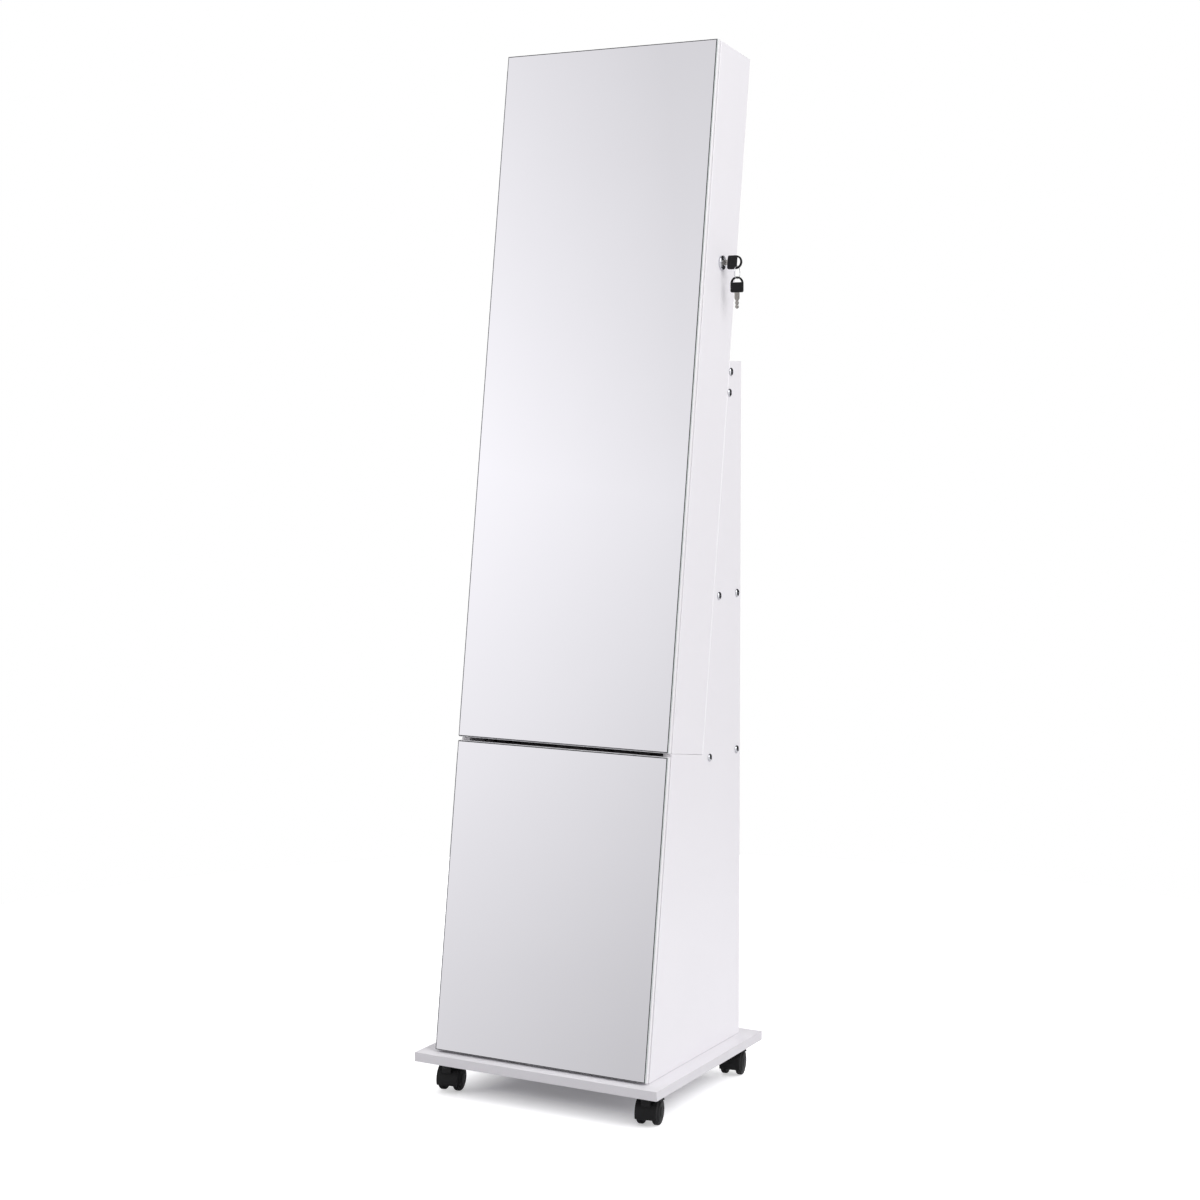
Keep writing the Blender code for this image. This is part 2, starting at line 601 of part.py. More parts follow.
def build_lock():
    seat, bore = HALF + FIT, PLUG_RADIUS + FIT
    profile = [(bore, lock_face), (FLANGE_RADIUS - FLANGE_THICK / 2, lock_face),
               (FLANGE_RADIUS, lock_face - FLANGE_THICK / 2), (FLANGE_RADIUS, seat),
               (BARREL_RADIUS, seat), (BARREL_RADIUS, barrel_end), (bore, barrel_end)]
    settle(turned("lock_body", profile, "X", lock_axis, 16, ring=True), CHROME, lean_frame, smooth=True)
    outer = BOX_INNER - FIT
    corners = arc((lock_axis.y, lock_axis.z), NUT_ACROSS_FLATS / sqrt(3), 0, 2 * pi, 6)[:-1]
    nut = prism("lock_nut", corners, "X", outer - NUT_THICK, outer)
    hole = rod("hole", "X", lock_axis, outer - 2 * NUT_THICK, outer + NUT_THICK, BARREL_RADIUS + FIT, 16)
    settle(cut(nut, [hole]), STEEL, lean_frame)
    core = pivot("lock_core", lock_axis, lean_frame)
    plug = rod("lock_plug", "X", lock_axis, barrel_end, lock_face, PLUG_RADIUS, 16)
    half = TENON / 2
    tenon = block("tenon", lock_axis + Vector((cam_inner - FIT, -half, -half)),
                  lock_axis + Vector((barrel_end + TENON, half, half)))
    fuse(plug, [tenon])
    side, rise = KEY_THICK / 2 + FIT, KEY_HEIGHT / 2 + FIT
    keyway = block("keyway", lock_axis + Vector((lock_face - KEY_DEPTH - SLACK, -side, -rise)),
                   lock_axis + Vector((lock_face + KEY_NECK, side, rise)))
    settle(cut(plug, [keyway]), CHROME, core, core.location, smooth=True)
    build_cam(core)
    build_key(core)


def build_cam(core):
    """Flat cam that points to the door when the lock is open."""
    y, z = lock_axis.y, lock_axis.z
    half, tip = CAM_WIDTH / 2, y - CAM_LENGTH + CAM_WIDTH / 2
    outline = arc((tip, z), half, pi / 2, 3 * pi / 2, 8) + arc((y, z), half, -pi / 2, pi / 2, 8)
    cam = prism("lock_cam", outline, "X", cam_inner, cam_outer)
    room = TENON / 2 + FIT
    hole = block("hole", lock_axis + Vector((cam_inner - CAM_THICK, -room, -room)),
                 lock_axis + Vector((cam_outer + CAM_THICK, room, room)))
    settle(cut(cam, [hole]), STEEL, core, core.location)


def blade_outline():
    """Key blade with its bumps, along the first axis from the lock's face."""
    shoulder = KEY_NECK - KEY_SHOULDER
    upper = [(KEY_NECK + KEY_SOCKET, KEY_HEIGHT / 2), (shoulder, KEY_HEIGHT / 2)]
    for i in range(KEY_BUMPS):
        waist = shoulder - KEY_BUMP_PITCH * (i + 0.45)
        upper += [(waist, KEY_WAIST / 2), (waist - KEY_BUMP_PITCH / 2, KEY_BUMP / 2)]
    upper.append((-KEY_DEPTH, KEY_WAIST / 4))
    return upper + [(a, -b) for a, b in reversed(upper)]


def bow_outline():
    """Key bow with an arched end."""
    corner = BOW_CORNER
    points = arc((arch_middle, 0), arch_radius, -pi / 2, pi / 2, 10)
    points += arc((KEY_NECK + corner, arch_radius - corner), corner, pi / 2, pi, 2)
    return points + arc((KEY_NECK + corner, corner - arch_radius), corner, pi, 3 * pi / 2, 2)


def slot_outline():
    """Slot inside the arched rim, straight on the lock's side."""
    reach = acos((slot_edge - arch_middle) / slot_radius)
    return arc((arch_middle, 0), slot_radius, -reach, reach, 8)


def key_shape(name, place):
    """Key with its bow moulded round the blade, moved from the key's own frame to its place."""
    key = prism(name, bow_outline(), "Y", -BOW_THICK / 2, BOW_THICK / 2)
    cut(key, [prism("slot", slot_outline(), "Y", -BOW_THICK, BOW_THICK)])
    fuse(key, [prism("blade", blade_outline(), "Y", -KEY_THICK / 2, KEY_THICK / 2)])
    key.data.transform(place)
    return key


def build_key(core):
    """Key in the lock, and the ring and spare key that hang from it."""
    place = Matrix.Translation(lock_axis + Vector((lock_face, 0, 0)))
    settle(key_shape("key", place), BLACK_PLASTIC, core, core.location, smooth=True)
    build_ring()


def build_ring():
    """Ring round the lower bar of the bow, with the spare key hanging on it."""
    along = slot_edge + RING_WIRE + RING_CLEAR
    bar_top = sqrt(slot_radius ** 2 - (along - arch_middle) ** 2)
    bar_bottom = sqrt(arch_radius ** 2 - (along - arch_middle) ** 2)
    bar_half = Vector(((bar_bottom - bar_top) / 2, BOW_THICK / 2)).length
    bar = leaned(lock_face + along, lock_axis.y, lock_axis.z - (bar_top + bar_bottom) / 2)
    middle = bar + Vector((0, 0, bar_half + RING_WIRE + RING_CLEAR - RING_RADIUS))
    wire = [(RING_RADIUS + a, b) for a, b in arc((0, 0), RING_WIRE, 0, 2 * pi, 6)[:-1]]
    swing = pivot("key_ring_swing", bar)
    ring = turned("key_ring", wire, "X", middle, 20, ring=True)
    settle(ring, STEEL, swing, swing.location, smooth=True)
    hang = middle - Vector((0, 0, RING_RADIUS))
    lift = RING_WIRE + RING_CLEAR - arch_middle - slot_radius
    place = Matrix.Translation(hang + Vector((0, 0, lift))) @ Matrix.Rotation(-pi / 2, 4, "Y")
    spare = pivot("spare_key_swing", hang)
    settle(key_shape("spare_key", place), BLACK_PLASTIC, spare, spare.location, smooth=True)


# Places in a castor, whose own frame has the swivel axis as Z and trails along Y
wheel_corner = WHEEL_RADIUS / cos(pi / WHEEL_SEGMENTS)
hood_inner = wheel_corner + HOOD_GAP
hood_outer = hood_inner + HOOD_THICK
axle = (0, CASTOR_TRAIL, WHEEL_RADIUS)
wheel_inner = WHEEL_GAP / 2
wheel_outer = wheel_inner + WHEEL_TREAD + WHEEL_DOME


def castor_plate(name, centre):
    """Square plate with its kingpin below."""
    reach = PLATE_SIZE / 2
    plate = block(name, centre + Vector((-reach, -reach, plate_bottom)),
                  centre + Vector((reach, reach, plate_top)))
    pin_bottom, pin_top = plate_bottom - KINGPIN_LENGTH, plate_bottom + PLATE_THICK / 2
    return fuse(plate, [rod("kingpin", "Z", centre, pin_bottom, pin_top, KINGPIN_RADIUS)])


def hood_shape(name):
    """Castor hood: web between the wheels, fender over them and swivel boss, bored for the axle."""
    middle = axle[1:]
    web_back, web_front = HOOD_BACK + WEB_STEP, HOOD_FRONT - WEB_STEP
    web = arc(middle, hood_inner + HOOD_THICK / 2, web_back, web_front, 10)
    web += arc(middle, HOOD_WEB_RADIUS, web_front, web_back + 2 * pi, 8)
    hood = prism(name, web, "X", -HOOD_WEB / 2, HOOD_WEB / 2)
    fender = arc(middle, hood_outer, HOOD_BACK, HOOD_FRONT, 12)
    fender += arc(middle, hood_inner, HOOD_FRONT, HOOD_BACK, 12)
    boss_bottom = plate_bottom - FIT - BOSS_HEIGHT
    neck_half = HOOD_WEB / 2 - FIT
    neck = block("neck", (-neck_half, -NECK_FRONT, WHEEL_RADIUS + HOOD_WEB_RADIUS),
                 (neck_half, CASTOR_TRAIL, boss_bottom + BOSS_HEIGHT / 4))
    fuse(hood, [prism("fender", fender, "X", -HOOD_HALF_WIDTH, HOOD_HALF_WIDTH), neck,
                rod("boss", "Z", (0, 0, 0), boss_bottom, plate_bottom - FIT, BOSS_RADIUS, 16)])
    room = wheel_corner + HOOD_GAP / 2
    room_start = HOOD_WEB / 2 + FIT / 2
    cut(hood, [rod("room", "X", axle, side * room_start, side * wheel_outer, room, WHEEL_SEGMENTS)
               for side in (-1, 1)])
    bore_bottom = plate_bottom - KINGPIN_LENGTH - FIT
    return cut(hood, [rod("kingpin", "Z", (0, 0, 0), bore_bottom, plate_bottom + FIT, KINGPIN_RADIUS + FIT),
                      rod("axle", "X", axle, -HOOD_WEB, HOOD_WEB, AXLE_RADIUS + FIT)])


def wheels_shape(name):
    """Two wheels pressed on one axle, with rounded treads and domed outer faces."""
    shoulder, tread_end = wheel_corner - WHEEL_ROUND, wheel_inner + WHEEL_TREAD
    half = [(AXLE_RADIUS, wheel_inner), (shoulder, wheel_inner),
            (wheel_corner, wheel_inner + WHEEL_ROUND), (wheel_corner, tread_end - WHEEL_ROUND),
            (shoulder, tread_end), (WHEEL_HUB_RADIUS, wheel_outer), (0, wheel_outer)]
    profile = [(r, -d) for r, d in reversed(half)] + half
    return turned(name, profile, "X", axle, WHEEL_SEGMENTS)


def build_castors():
    for name, place in castor_places.items():
        settle(castor_plate("castor_" + name + "_plate", place), STEEL)
        swivel = pivot("castor_" + name + "_swivel", place, turn=(0, 0, CASTOR_HEADING))
        settle(hood_shape("castor_" + name + "_hood"), BLACK_PLASTIC, swivel, smooth=True)
        spin = pivot("castor_" + name + "_axle", axle, swivel)
        wheels = wheels_shape("castor_" + name + "_wheels")
        settle(wheels, BLACK_PLASTIC, spin, spin.location, smooth=True)


build_base()
build_stand_boards()
build_stand_side(-1, "left")
build_stand_side(1, "right")
build_side_screws()
build_box()
build_necklace_rail()
build_trays()
build_doors()
build_lock()
build_castors()
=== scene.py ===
import json
import bpy
import bmesh
from math import acos, atan2, cos, degrees, hypot, pi, radians, sin, sqrt
from mathutils import Matrix, Vector


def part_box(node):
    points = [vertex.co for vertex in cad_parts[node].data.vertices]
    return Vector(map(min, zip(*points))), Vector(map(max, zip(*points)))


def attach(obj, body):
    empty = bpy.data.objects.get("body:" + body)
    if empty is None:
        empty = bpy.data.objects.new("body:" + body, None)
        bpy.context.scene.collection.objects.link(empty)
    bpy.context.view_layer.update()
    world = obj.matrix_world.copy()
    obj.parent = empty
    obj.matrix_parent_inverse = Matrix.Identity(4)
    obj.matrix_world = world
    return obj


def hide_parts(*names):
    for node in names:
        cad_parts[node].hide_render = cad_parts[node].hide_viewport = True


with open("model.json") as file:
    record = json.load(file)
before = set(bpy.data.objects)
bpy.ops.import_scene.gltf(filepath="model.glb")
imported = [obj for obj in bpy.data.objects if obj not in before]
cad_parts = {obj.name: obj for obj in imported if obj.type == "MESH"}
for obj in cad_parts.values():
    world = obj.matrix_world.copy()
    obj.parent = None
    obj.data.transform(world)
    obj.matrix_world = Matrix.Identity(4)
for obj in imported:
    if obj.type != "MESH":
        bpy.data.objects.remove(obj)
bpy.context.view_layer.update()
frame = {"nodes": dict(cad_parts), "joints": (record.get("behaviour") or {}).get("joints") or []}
scene = bpy.context.scene
scene.view_settings.view_transform = "Standard"
print("frame loaded:", len(frame["nodes"]), "solids")

moveTo = Matrix.Translation

# the box and its doors lean back: y is then the depth behind the mirrors, z runs up along them
leanFrame = {"foot": (0.0, -0.1645, 0.069), "degrees": 8.55}
leanPlace = moveTo(leanFrame["foot"]) @ Matrix.Rotation(-radians(leanFrame["degrees"]), 4, "X")
alongX = Matrix.Rotation(pi / 2, 4, "Y")  # turns a piece made along z to lie along x
alongY = Matrix.Rotation(-pi / 2, 4, "X")
headDown = Matrix.Rotation(pi, 4, "X")
endToSide = Matrix(((0, 0, 1, 0), (1, 0, 0, 0), (0, 1, 0, 0), (0, 0, 0, 1)))  # xy outline to the yz plane
upright = Matrix(((1, 0, 0, 0), (0, 0, -1, 0), (0, 1, 0, 0), (0, 0, 0, 1)))  # xy outline to the xz plane
mm = 0.001
near = 1e-6  # metres, what lies closer counts as the same place


def linear(hexValue):
    parts = [int(hexValue[i:i + 2], 16) / 255 for i in (1, 3, 5)]
    return [p / 12.92 if p <= 0.04045 else ((p + 0.055) / 1.055) ** 2.4 for p in parts] + [1.0]


# a link is a socket, or a node for its first output
def addNode(tree, kind, settings=None, values=None, links=None):
    node = tree.nodes.new("ShaderNode" + kind)
    for key, value in (settings or {}).items():
        setattr(node, key, value)
    for key, value in (values or {}).items():
        node.inputs[key].default_value = value
    for key, source in (links or {}).items():
        tree.links.new(getattr(source, "outputs", [source])[0], node.inputs[key])
    return node


noiseSpan = (0.3, 0.7)  # nearly all of a noise texture lies between these


# colour drifts between two tones in wide clouds, roughness follows them, and a finer grain gives the relief,
# whose depth in mm and strength are a pair
def newFinish(name, look):
    material = bpy.data.materials.new(name)
    material.use_nodes = True
    tree = material.node_tree
    shader = tree.nodes["Principled BSDF"]
    for socket, value in look["sockets"].items():
        shader.inputs[socket].default_value = value
    place = addNode(tree, "TexCoord").outputs["Object"]
    cloud = addNode(tree, "TexNoise", values={"Scale": 1 / (look["cloudMm"] * mm), "Detail": 3.0},
        links={"Vector": place})
    tone = addNode(tree, "Mix", {"data_type": "RGBA"},
        {6: linear(look["colour"]), 7: linear(look["shade"])}, {0: cloud})
    tree.links.new(tone.outputs[2], shader.inputs["Base Color"])
    if "roughness" in look:
        (least, most), (low, high) = noiseSpan, look["roughness"]
        gloss = addNode(tree, "MapRange", links={"Value": cloud},
            values={"From Min": least, "From Max": most, "To Min": low, "To Max": high})
        tree.links.new(gloss.outputs["Result"], shader.inputs["Roughness"])
    stretch = look.get("stretch", (1, 1, 1))
    drawn = addNode(tree, "Mapping", values={"Scale": stretch}, links={"Vector": place})
    grain = addNode(tree, "TexNoise", values={"Scale": 1 / (look["grainMm"] * mm), "Detail": 2.0},
        links={"Vector": drawn})
    deep, share = look["relief"]
    relief = addNode(tree, "Bump", values={"Strength": share, "Distance": deep * mm}, links={"Height": grain})
    tree.links.new(relief.outputs["Normal"], shader.inputs["Normal"])
    return material


finishes = {
    # melamine-faced chipboard: a resin film pressed on, so satin white with a faint pebbled skin
    # the real pebble is under 1 mm and is drawn coarser so that it shows
    "melamine": {"colour": "#F0EEF2", "shade": "#ECEAEE", "cloudMm": 160, "roughness": (0.36, 0.46),
        "grainMm": 2.2, "relief": (0.05, 0.35), "sockets": {"IOR": 1.5}},
    # edge banding: a thin plastic strip ironed round the boards, a shade whiter and smoother than their faces
    "edgeBand": {"colour": "#F2F0F3", "shade": "#EEECEF", "cloudMm": 60, "roughness": (0.26, 0.34),
        "grainMm": 3.0, "relief": (0.03, 0.2), "sockets": {"IOR": 1.5}},
    # thicker strip round the base board: a shade greyer, which is painted shade for the lesser light it gets
    # down by the floor
    "baseBand": {"colour": "#E1DFE3", "shade": "#DAD8DC", "cloudMm": 45, "roughness": (0.32, 0.42),
        "grainMm": 3.0, "relief": (0.03, 0.2), "sockets": {"IOR": 1.5}},
    # silvered float glass: one clear, sharp reflection, whose tone drifts a little as on wiped glass
    "silveredGlass": {"colour": "#F4F3F7", "shade": "#F1F0F4", "cloudMm": 210, "grainMm": 90,
        "relief": (0.01, 0.05), "sockets": {"Metallic": 1.0, "Roughness": 0.0}},
    # ground glass edge: the cut through the glass is drawn dark grey beside the silver, partly its own grey
    # and partly painted shade for the dark line round the mirror
    "groundGlass": {"colour": "#36383B", "shade": "#2A2C2F", "cloudMm": 30, "roughness": (0.22, 0.34),
        "grainMm": 0.8, "relief": (0.03, 0.3), "sockets": {"IOR": 1.52}},
    # sawn side of the glass: much paler than the ground edge, because light comes through the sheet
    "glassSide": {"colour": "#D3D9D8", "shade": "#C4CCCB", "cloudMm": 40, "roughness": (0.30, 0.45),
        "grainMm": 0.9, "relief": (0.03, 0.3), "sockets": {"IOR": 1.52}},
    # chrome on die-cast zinc: bright and hard, with the polisher's faint unevenness
    "chromePlate": {"colour": "#CDCED2", "shade": "#C2C3C8", "cloudMm": 9, "roughness": (0.05, 0.09),
        "grainMm": 2.5, "relief": (0.01, 0.15), "sockets": {"Metallic": 1.0}},
    # zinc-plated sheet steel: grey, soft gloss, with the rolling lines left in it
    "zincSteel": {"colour": "#A9ABAF", "shade": "#97999D", "cloudMm": 14, "roughness": (0.28, 0.40),
        "grainMm": 1.6, "stretch": (1, 1, 0.06), "relief": (0.02, 0.25), "sockets": {"Metallic": 1.0}},
    # nickel-plated brass key blank: warm grey, milled lengthwise
    "nickelBrass": {"colour": "#A3A19C", "shade": "#8E8B85", "cloudMm": 5, "roughness": (0.14, 0.22),
        "grainMm": 0.7, "relief": (0.02, 0.25), "sockets": {"Metallic": 1.0}},
    # moulded nylon: black, with the even sparkle that an eroded mould leaves
    "mouldedNylon": {"colour": "#111112", "shade": "#0B0B0C", "cloudMm": 24, "roughness": (0.40, 0.52),
        "grainMm": 0.9, "relief": (0.05, 0.35), "sockets": {"IOR": 1.53, "Specular IOR Level": 0.22}},
    # glossy moulded ABS of the key heads: black, smoother than the castors
    "keyPlastic": {"colour": "#121213", "shade": "#0D0D0E", "cloudMm": 10, "roughness": (0.30, 0.40),
        "grainMm": 0.8, "relief": (0.02, 0.25), "sockets": {"IOR": 1.54, "Specular IOR Level": 0.22}},
    # black lacquer on beech: the pegs and their rail, faint brush lines along the rail
    "blackLacquer": {"colour": "#1B1A1C", "shade": "#141315", "cloudMm": 30, "roughness": (0.24, 0.36),
        "grainMm": 2.0, "stretch": (0.08, 1, 1), "relief": (0.03, 0.3), "sockets": {"IOR": 1.5}},
    # cotton velvet: the pile takes the light at grazing angles, and lies in patches where it was stroked
    # the pile is about 0.3 mm thick and is drawn coarser so that it shows
    "velvet": {"colour": "#353239", "shade": "#242127", "cloudMm": 26, "roughness": (0.85, 0.97),
        "grainMm": 1.1, "relief": (0.4, 0.6),
        "sockets": {"Sheen Weight": 0.55, "Sheen Roughness": 0.35, "Sheen Tint": linear("#8C8794"),
            "Specular IOR Level": 0.15}},
}
made = {name: newFinish(name, look) for name, look in finishes.items()}
print("finishes made:", len(made))


def boxOf(node, place=Matrix()):
    back = place.inverted()
    points = [back @ v.co for v in frame["nodes"][node].data.vertices]
    return [Vector([pick(p[i] for p in points) for i in range(3)]) for pick in (min, max)]


def newBox(low, high):
    bm = bmesh.new()
    size = Matrix.Diagonal((*(Vector(high) - Vector(low)), 1))
    bmesh.ops.create_cube(bm, size=1.0, matrix=moveTo((Vector(low) + Vector(high)) / 2) @ size)
    return bm


def inMetres(pairs):
    return [(a * mm, b * mm) for a, b in pairs]


# outline of xy pairs, pushed up from one height to another
def newPlate(outline, low, high):
    bm = bmesh.new()
    face = bm.faces.new([bm.verts.new((x, y, low)) for x, y in outline])
    raised = bmesh.ops.extrude_face_region(bm, geom=[face])["geom"]
    lid = [v for v in raised if isinstance(v, bmesh.types.BMVert)]
    bmesh.ops.translate(bm, vec=(0, 0, high - low), verts=lid)
    return bm


# profile of (radius, height) pairs, turned about z
def newTurned(profile, steps, closed=False):
    bm = bmesh.new()
    verts = [bm.verts.new((r, 0, z)) for r, z in profile]
    pairs = list(zip(verts, verts[1:])) + ([(verts[-1], verts[0])] if closed else [])
    edges = [bm.edges.new(pair) for pair in pairs]
    bmesh.ops.spin(bm, geom=verts + edges, cent=(0, 0, 0), axis=(0, 0, 1), angle=2 * pi, steps=steps,
        use_merge=True)
    bmesh.ops.remove_doubles(bm, verts=bm.verts, dist=near)
    bmesh.ops.recalc_face_normals(bm, faces=bm.faces)
    return bm


def arc(centre, radius, start, end, steps):
    turns = [radians(start + (end - start) * i / steps) for i in range(steps + 1)]
    return [(centre[0] + radius * cos(t), centre[1] + radius * sin(t)) for t in turns]


def placed(bm, place):
    bmesh.ops.transform(bm, matrix=place, verts=bm.verts)
    return bm


# eases every edge that turns by more than some degrees
def soften(bm, width, segments=2, least=35):
    bmesh.ops.recalc_face_normals(bm, faces=bm.faces)
    edges = [e for e in bm.edges if len(e.link_faces) == 2 and e.calc_face_angle() > radians(least)]
    bmesh.ops.bevel(bm, geom=edges, offset=width, segments=segments, profile=0.5, affect="EDGES", material=-1,
        clamp_overlap=True)
    bmesh.ops.remove_doubles(bm, verts=bm.verts, dist=0.02 * mm)  # narrow faces that the bevel closed up
    return bm


# rounds those edges of a box that run along one axis
def roundPosts(bm, axis, radius, segments):
    posts = [e for e in bm.edges if abs(e.verts[0].co[axis] - e.verts[1].co[axis]) > 0.5 * mm]
    bmesh.ops.bevel(bm, geom=posts, offset=radius, segments=segments, profile=0.5, affect="EDGES",
        material=-1)
    return bm


def joined(shapes):
    bm = bmesh.new()
    for shape in shapes:
        mesh = bpy.data.meshes.new("part")
        shape.to_mesh(mesh)
        shape.free()
        bm.from_mesh(mesh)
        bpy.data.meshes.remove(mesh)
    return bm


# one closed shape cut out of another
def carved(bm, cutter):
    pair = []
    for shape in (bm, cutter):
        bmesh.ops.recalc_face_normals(shape, faces=shape.faces)
        mesh = bpy.data.meshes.new("carving")
        shape.to_mesh(mesh)
        shape.free()
        pair.append(bpy.data.objects.new("carving", mesh))
        scene.collection.objects.link(pair[-1])
    step = pair[0].modifiers.new("carve", "BOOLEAN")
    step.operation, step.solver, step.object = "DIFFERENCE", "EXACT", pair[1]
    graph = bpy.context.evaluated_depsgraph_get()
    result = bpy.data.meshes.new_from_object(pair[0].evaluated_get(graph))
    for obj in pair:
        bpy.data.objects.remove(obj, do_unlink=True)
    left = bmesh.new()
    left.from_mesh(result)
    bpy.data.meshes.remove(result)
    return left


def newPiece(name, bm, body, looks, slotName, stands=(), crease=40, weighted=False):
    bmesh.ops.recalc_face_normals(bm, faces=bm.faces)
    mesh = bpy.data.meshes.new(name)
    bm.to_mesh(mesh)
    bm.free()
    for look in looks:
        mesh.materials.append(made[look])
    if crease:
        mesh.shade_smooth()
        mesh.set_sharp_from_angle(angle=radians(crease))
    piece = bpy.data.objects.new(name, mesh)
    scene.collection.objects.link(piece)
    if weighted:
        piece.modifiers.new("flatFaces", "WEIGHTED_NORMAL").keep_sharp = True
    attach(piece, body)
    if stands:
        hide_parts(*stands)
    return piece


# finish and slot of the metals and the castors' plastic
zinc, chrome = (("zincSteel",), "zinc_steel"), (("chromePlate",), "chrome")
nylon = (("mouldedNylon",), "black_plastic")


# boards: the solids' own shapes with eased corners, banded along their edges
easedBoards = {
    "easeMm": 0.6, "steelEaseMm": 0.25, "flatDegrees": 0.5, "cornerDegrees": 40, "creaseDegrees": 60,
    "faceCosine": 0.7,  # faces turned further from the widest one are banded
    "cabinet": ("base_board", "stand_side_left", "stand_side_right", "deck_board", "rear_shelf",
        "rear_top_rail", "lower_back_panel", "box_side_left", "box_side_right", "box_top", "box_bottom"),
    "upper_door": ("upper_door_board",), "lower_door": ("lower_door_board",)}
easedSteels = {"lock_core": "lock_cam", "upper_door": "lock_keeper"}


def newCopy(node, ease):
    bm = bmesh.new()
    bm.from_mesh(frame["nodes"][node].data)
    bmesh.ops.remove_doubles(bm, verts=bm.verts, dist=near)
    flat = radians(easedBoards["flatDegrees"])
    bmesh.ops.dissolve_limit(bm, angle_limit=flat, verts=bm.verts, edges=bm.edges)
    return soften(bm, ease * mm, 2, easedBoards["cornerDegrees"])


def camelName(node):
    return node[0] + node.title().replace("_", "")[1:]


for body in ("cabinet", "upper_door", "lower_door"):
    for node in easedBoards[body]:
        board = newCopy(node, easedBoards["easeMm"])
        wide = max(board.faces, key=lambda f: f.calc_area()).normal.copy()
        for face in board.faces:
            face.material_index = 0 if abs(face.normal.dot(wide)) > easedBoards["faceCosine"] else 1
        # the base board's band is the one painted a shade greyer, as painted shade
        strip = "baseBand" if node == "base_board" else "edgeBand"
        newPiece(camelName(node), board, body, ("melamine", strip), "white_board", (node,),
            easedBoards["creaseDegrees"], weighted=True)
for body, node in easedSteels.items():
    newPiece(camelName(node), newCopy(node, easedBoards["steelEaseMm"]), body, *zinc, (node,),
        easedBoards["creaseDegrees"], weighted=True)
print("boards made")


# mirrors: silver inside a narrow ground edge that falls away from the face
mirrorPlate = {"edgeMm": 1.4, "fallMm": 0.4}
for door in ("upper", "lower"):
    low, high = boxOf(door + "_door_mirror", leanPlace)
    plate = newBox(low, high)
    front = min(plate.faces, key=lambda f: f.calc_center_median().y)
    bmesh.ops.inset_region(plate, faces=[front], thickness=mirrorPlate["edgeMm"] * mm, use_even_offset=True)
    for face in plate.faces:
        face.material_index = 1 if face.calc_center_median().y < low.y + near else 2
    front.material_index = 0
    rim = [v for v in plate.verts if v.co.y < low.y + near and v not in front.verts]
    bmesh.ops.translate(plate, vec=(0, mirrorPlate["fallMm"] * mm, 0), verts=rim)
    # the rim's dark grey finish is partly painted shade
    newPiece(door + "MirrorPlate", placed(plate, leanPlace), door + "_door",
        ("silveredGlass", "groundGlass", "glassSide"), "mirror_glass", (door + "_door_mirror",),
        crease=None)
print("mirrors made")


# screws: domed heads with a cross recess, drawn for the side screws and scaled for the smaller ones
screwHead = {
    "radiusMm": 6.2, "tallMm": 2.8, "shankMm": 2.5, "domeMm": (6.05, 5.6, 4.9, 4.0, 2.9, 1.9, 0.9),
    "lipShare": 0.12, "pointMm": 3, "pointShare": 0.6, "tipShare": 0.4, "armDegrees": 15, "coreMm": 0.9,
    "recessMm": 2.6, "recessDeepMm": 1.7, "recessTaper": 0.8, "mostDeep": 0.8, "steps": 24}


# millimetres: head radius, heights of seat, top and tip, shank radius
def newScrew(sizes):
    radius, seat, top, tip, shank = (v * mm for v in sizes)
    rise = top - seat
    point = min(screwHead["pointMm"] * mm, screwHead["pointShare"] * (seat - tip))
    lip = screwHead["lipShare"] * rise
    scale = radius / screwHead["radiusMm"]  # metres to a millimetre of the drawn head
    dome = [r * scale for r in screwHead["domeMm"]]
    profile = [(0, tip), (shank * screwHead["tipShare"], tip), (shank, tip + point), (shank, seat),
        (radius - lip, seat), (radius, seat + lip)]
    profile += [(r, seat + lip + (rise - lip) * sqrt(1 - (r / radius) ** 2)) for r in dome] + [(0, top)]
    bm = newTurned(profile, screwHead["steps"])
    cross = []
    for face in bm.faces:
        middle = face.calc_center_median()
        reach = hypot(middle.x, middle.y)
        turn = (degrees(atan2(middle.y, middle.x)) + 45) % 90 - 45
        inArm = abs(turn) < screwHead["armDegrees"] or reach < screwHead["coreMm"] * scale
        if middle.z > seat + rise / 2 and reach < screwHead["recessMm"] * scale and inArm:
            cross.append(face)
    sunk = bmesh.ops.extrude_face_region(bm, geom=cross)["geom"]
    bmesh.ops.delete(bm, geom=cross, context="FACES")
    floor = [v for v in sunk if isinstance(v, bmesh.types.BMVert)]
    deep = min(screwHead["recessDeepMm"] * scale, screwHead["mostDeep"] * (top - tip))
    bmesh.ops.translate(bm, vec=(0, 0, -deep), verts=floor)
    bmesh.ops.scale(bm, vec=(screwHead["recessTaper"], screwHead["recessTaper"], 1), verts=floor)
    return bm


# plate with holes, whose mouths are at the places given, and a sunk screw in each
def screwedDown(plate, places, holeMm, screwMm):
    drill = inMetres([(0, -2), (holeMm, -2), (holeMm, 1), (0, 1)])
    holes = [placed(newTurned(drill, screwHead["steps"]), place) for place in places]
    heads = [placed(newScrew(screwMm), place) for place in places]
    return joined([carved(plate, joined(holes))] + heads)


for node in sorted(n for n in frame["nodes"] if n.startswith("screw_")):
    low, high = boxOf(node)
    side = 1 if high.x > 0 else -1
    tip, top = sorted((abs(low.x) / mm, abs(high.x) / mm))
    screw = newScrew((screwHead["radiusMm"], top - screwHead["tallMm"], top, tip, screwHead["shankMm"]))
    middle = (low + high) / 2
    place = moveTo((0, middle.y, middle.z)) @ Matrix.Rotation(side * pi / 2, 4, "Y")
    newPiece(node.replace("screw", "domedScrew"), placed(screw, place), "cabinet", *chrome, (node,))
print("side screws made")


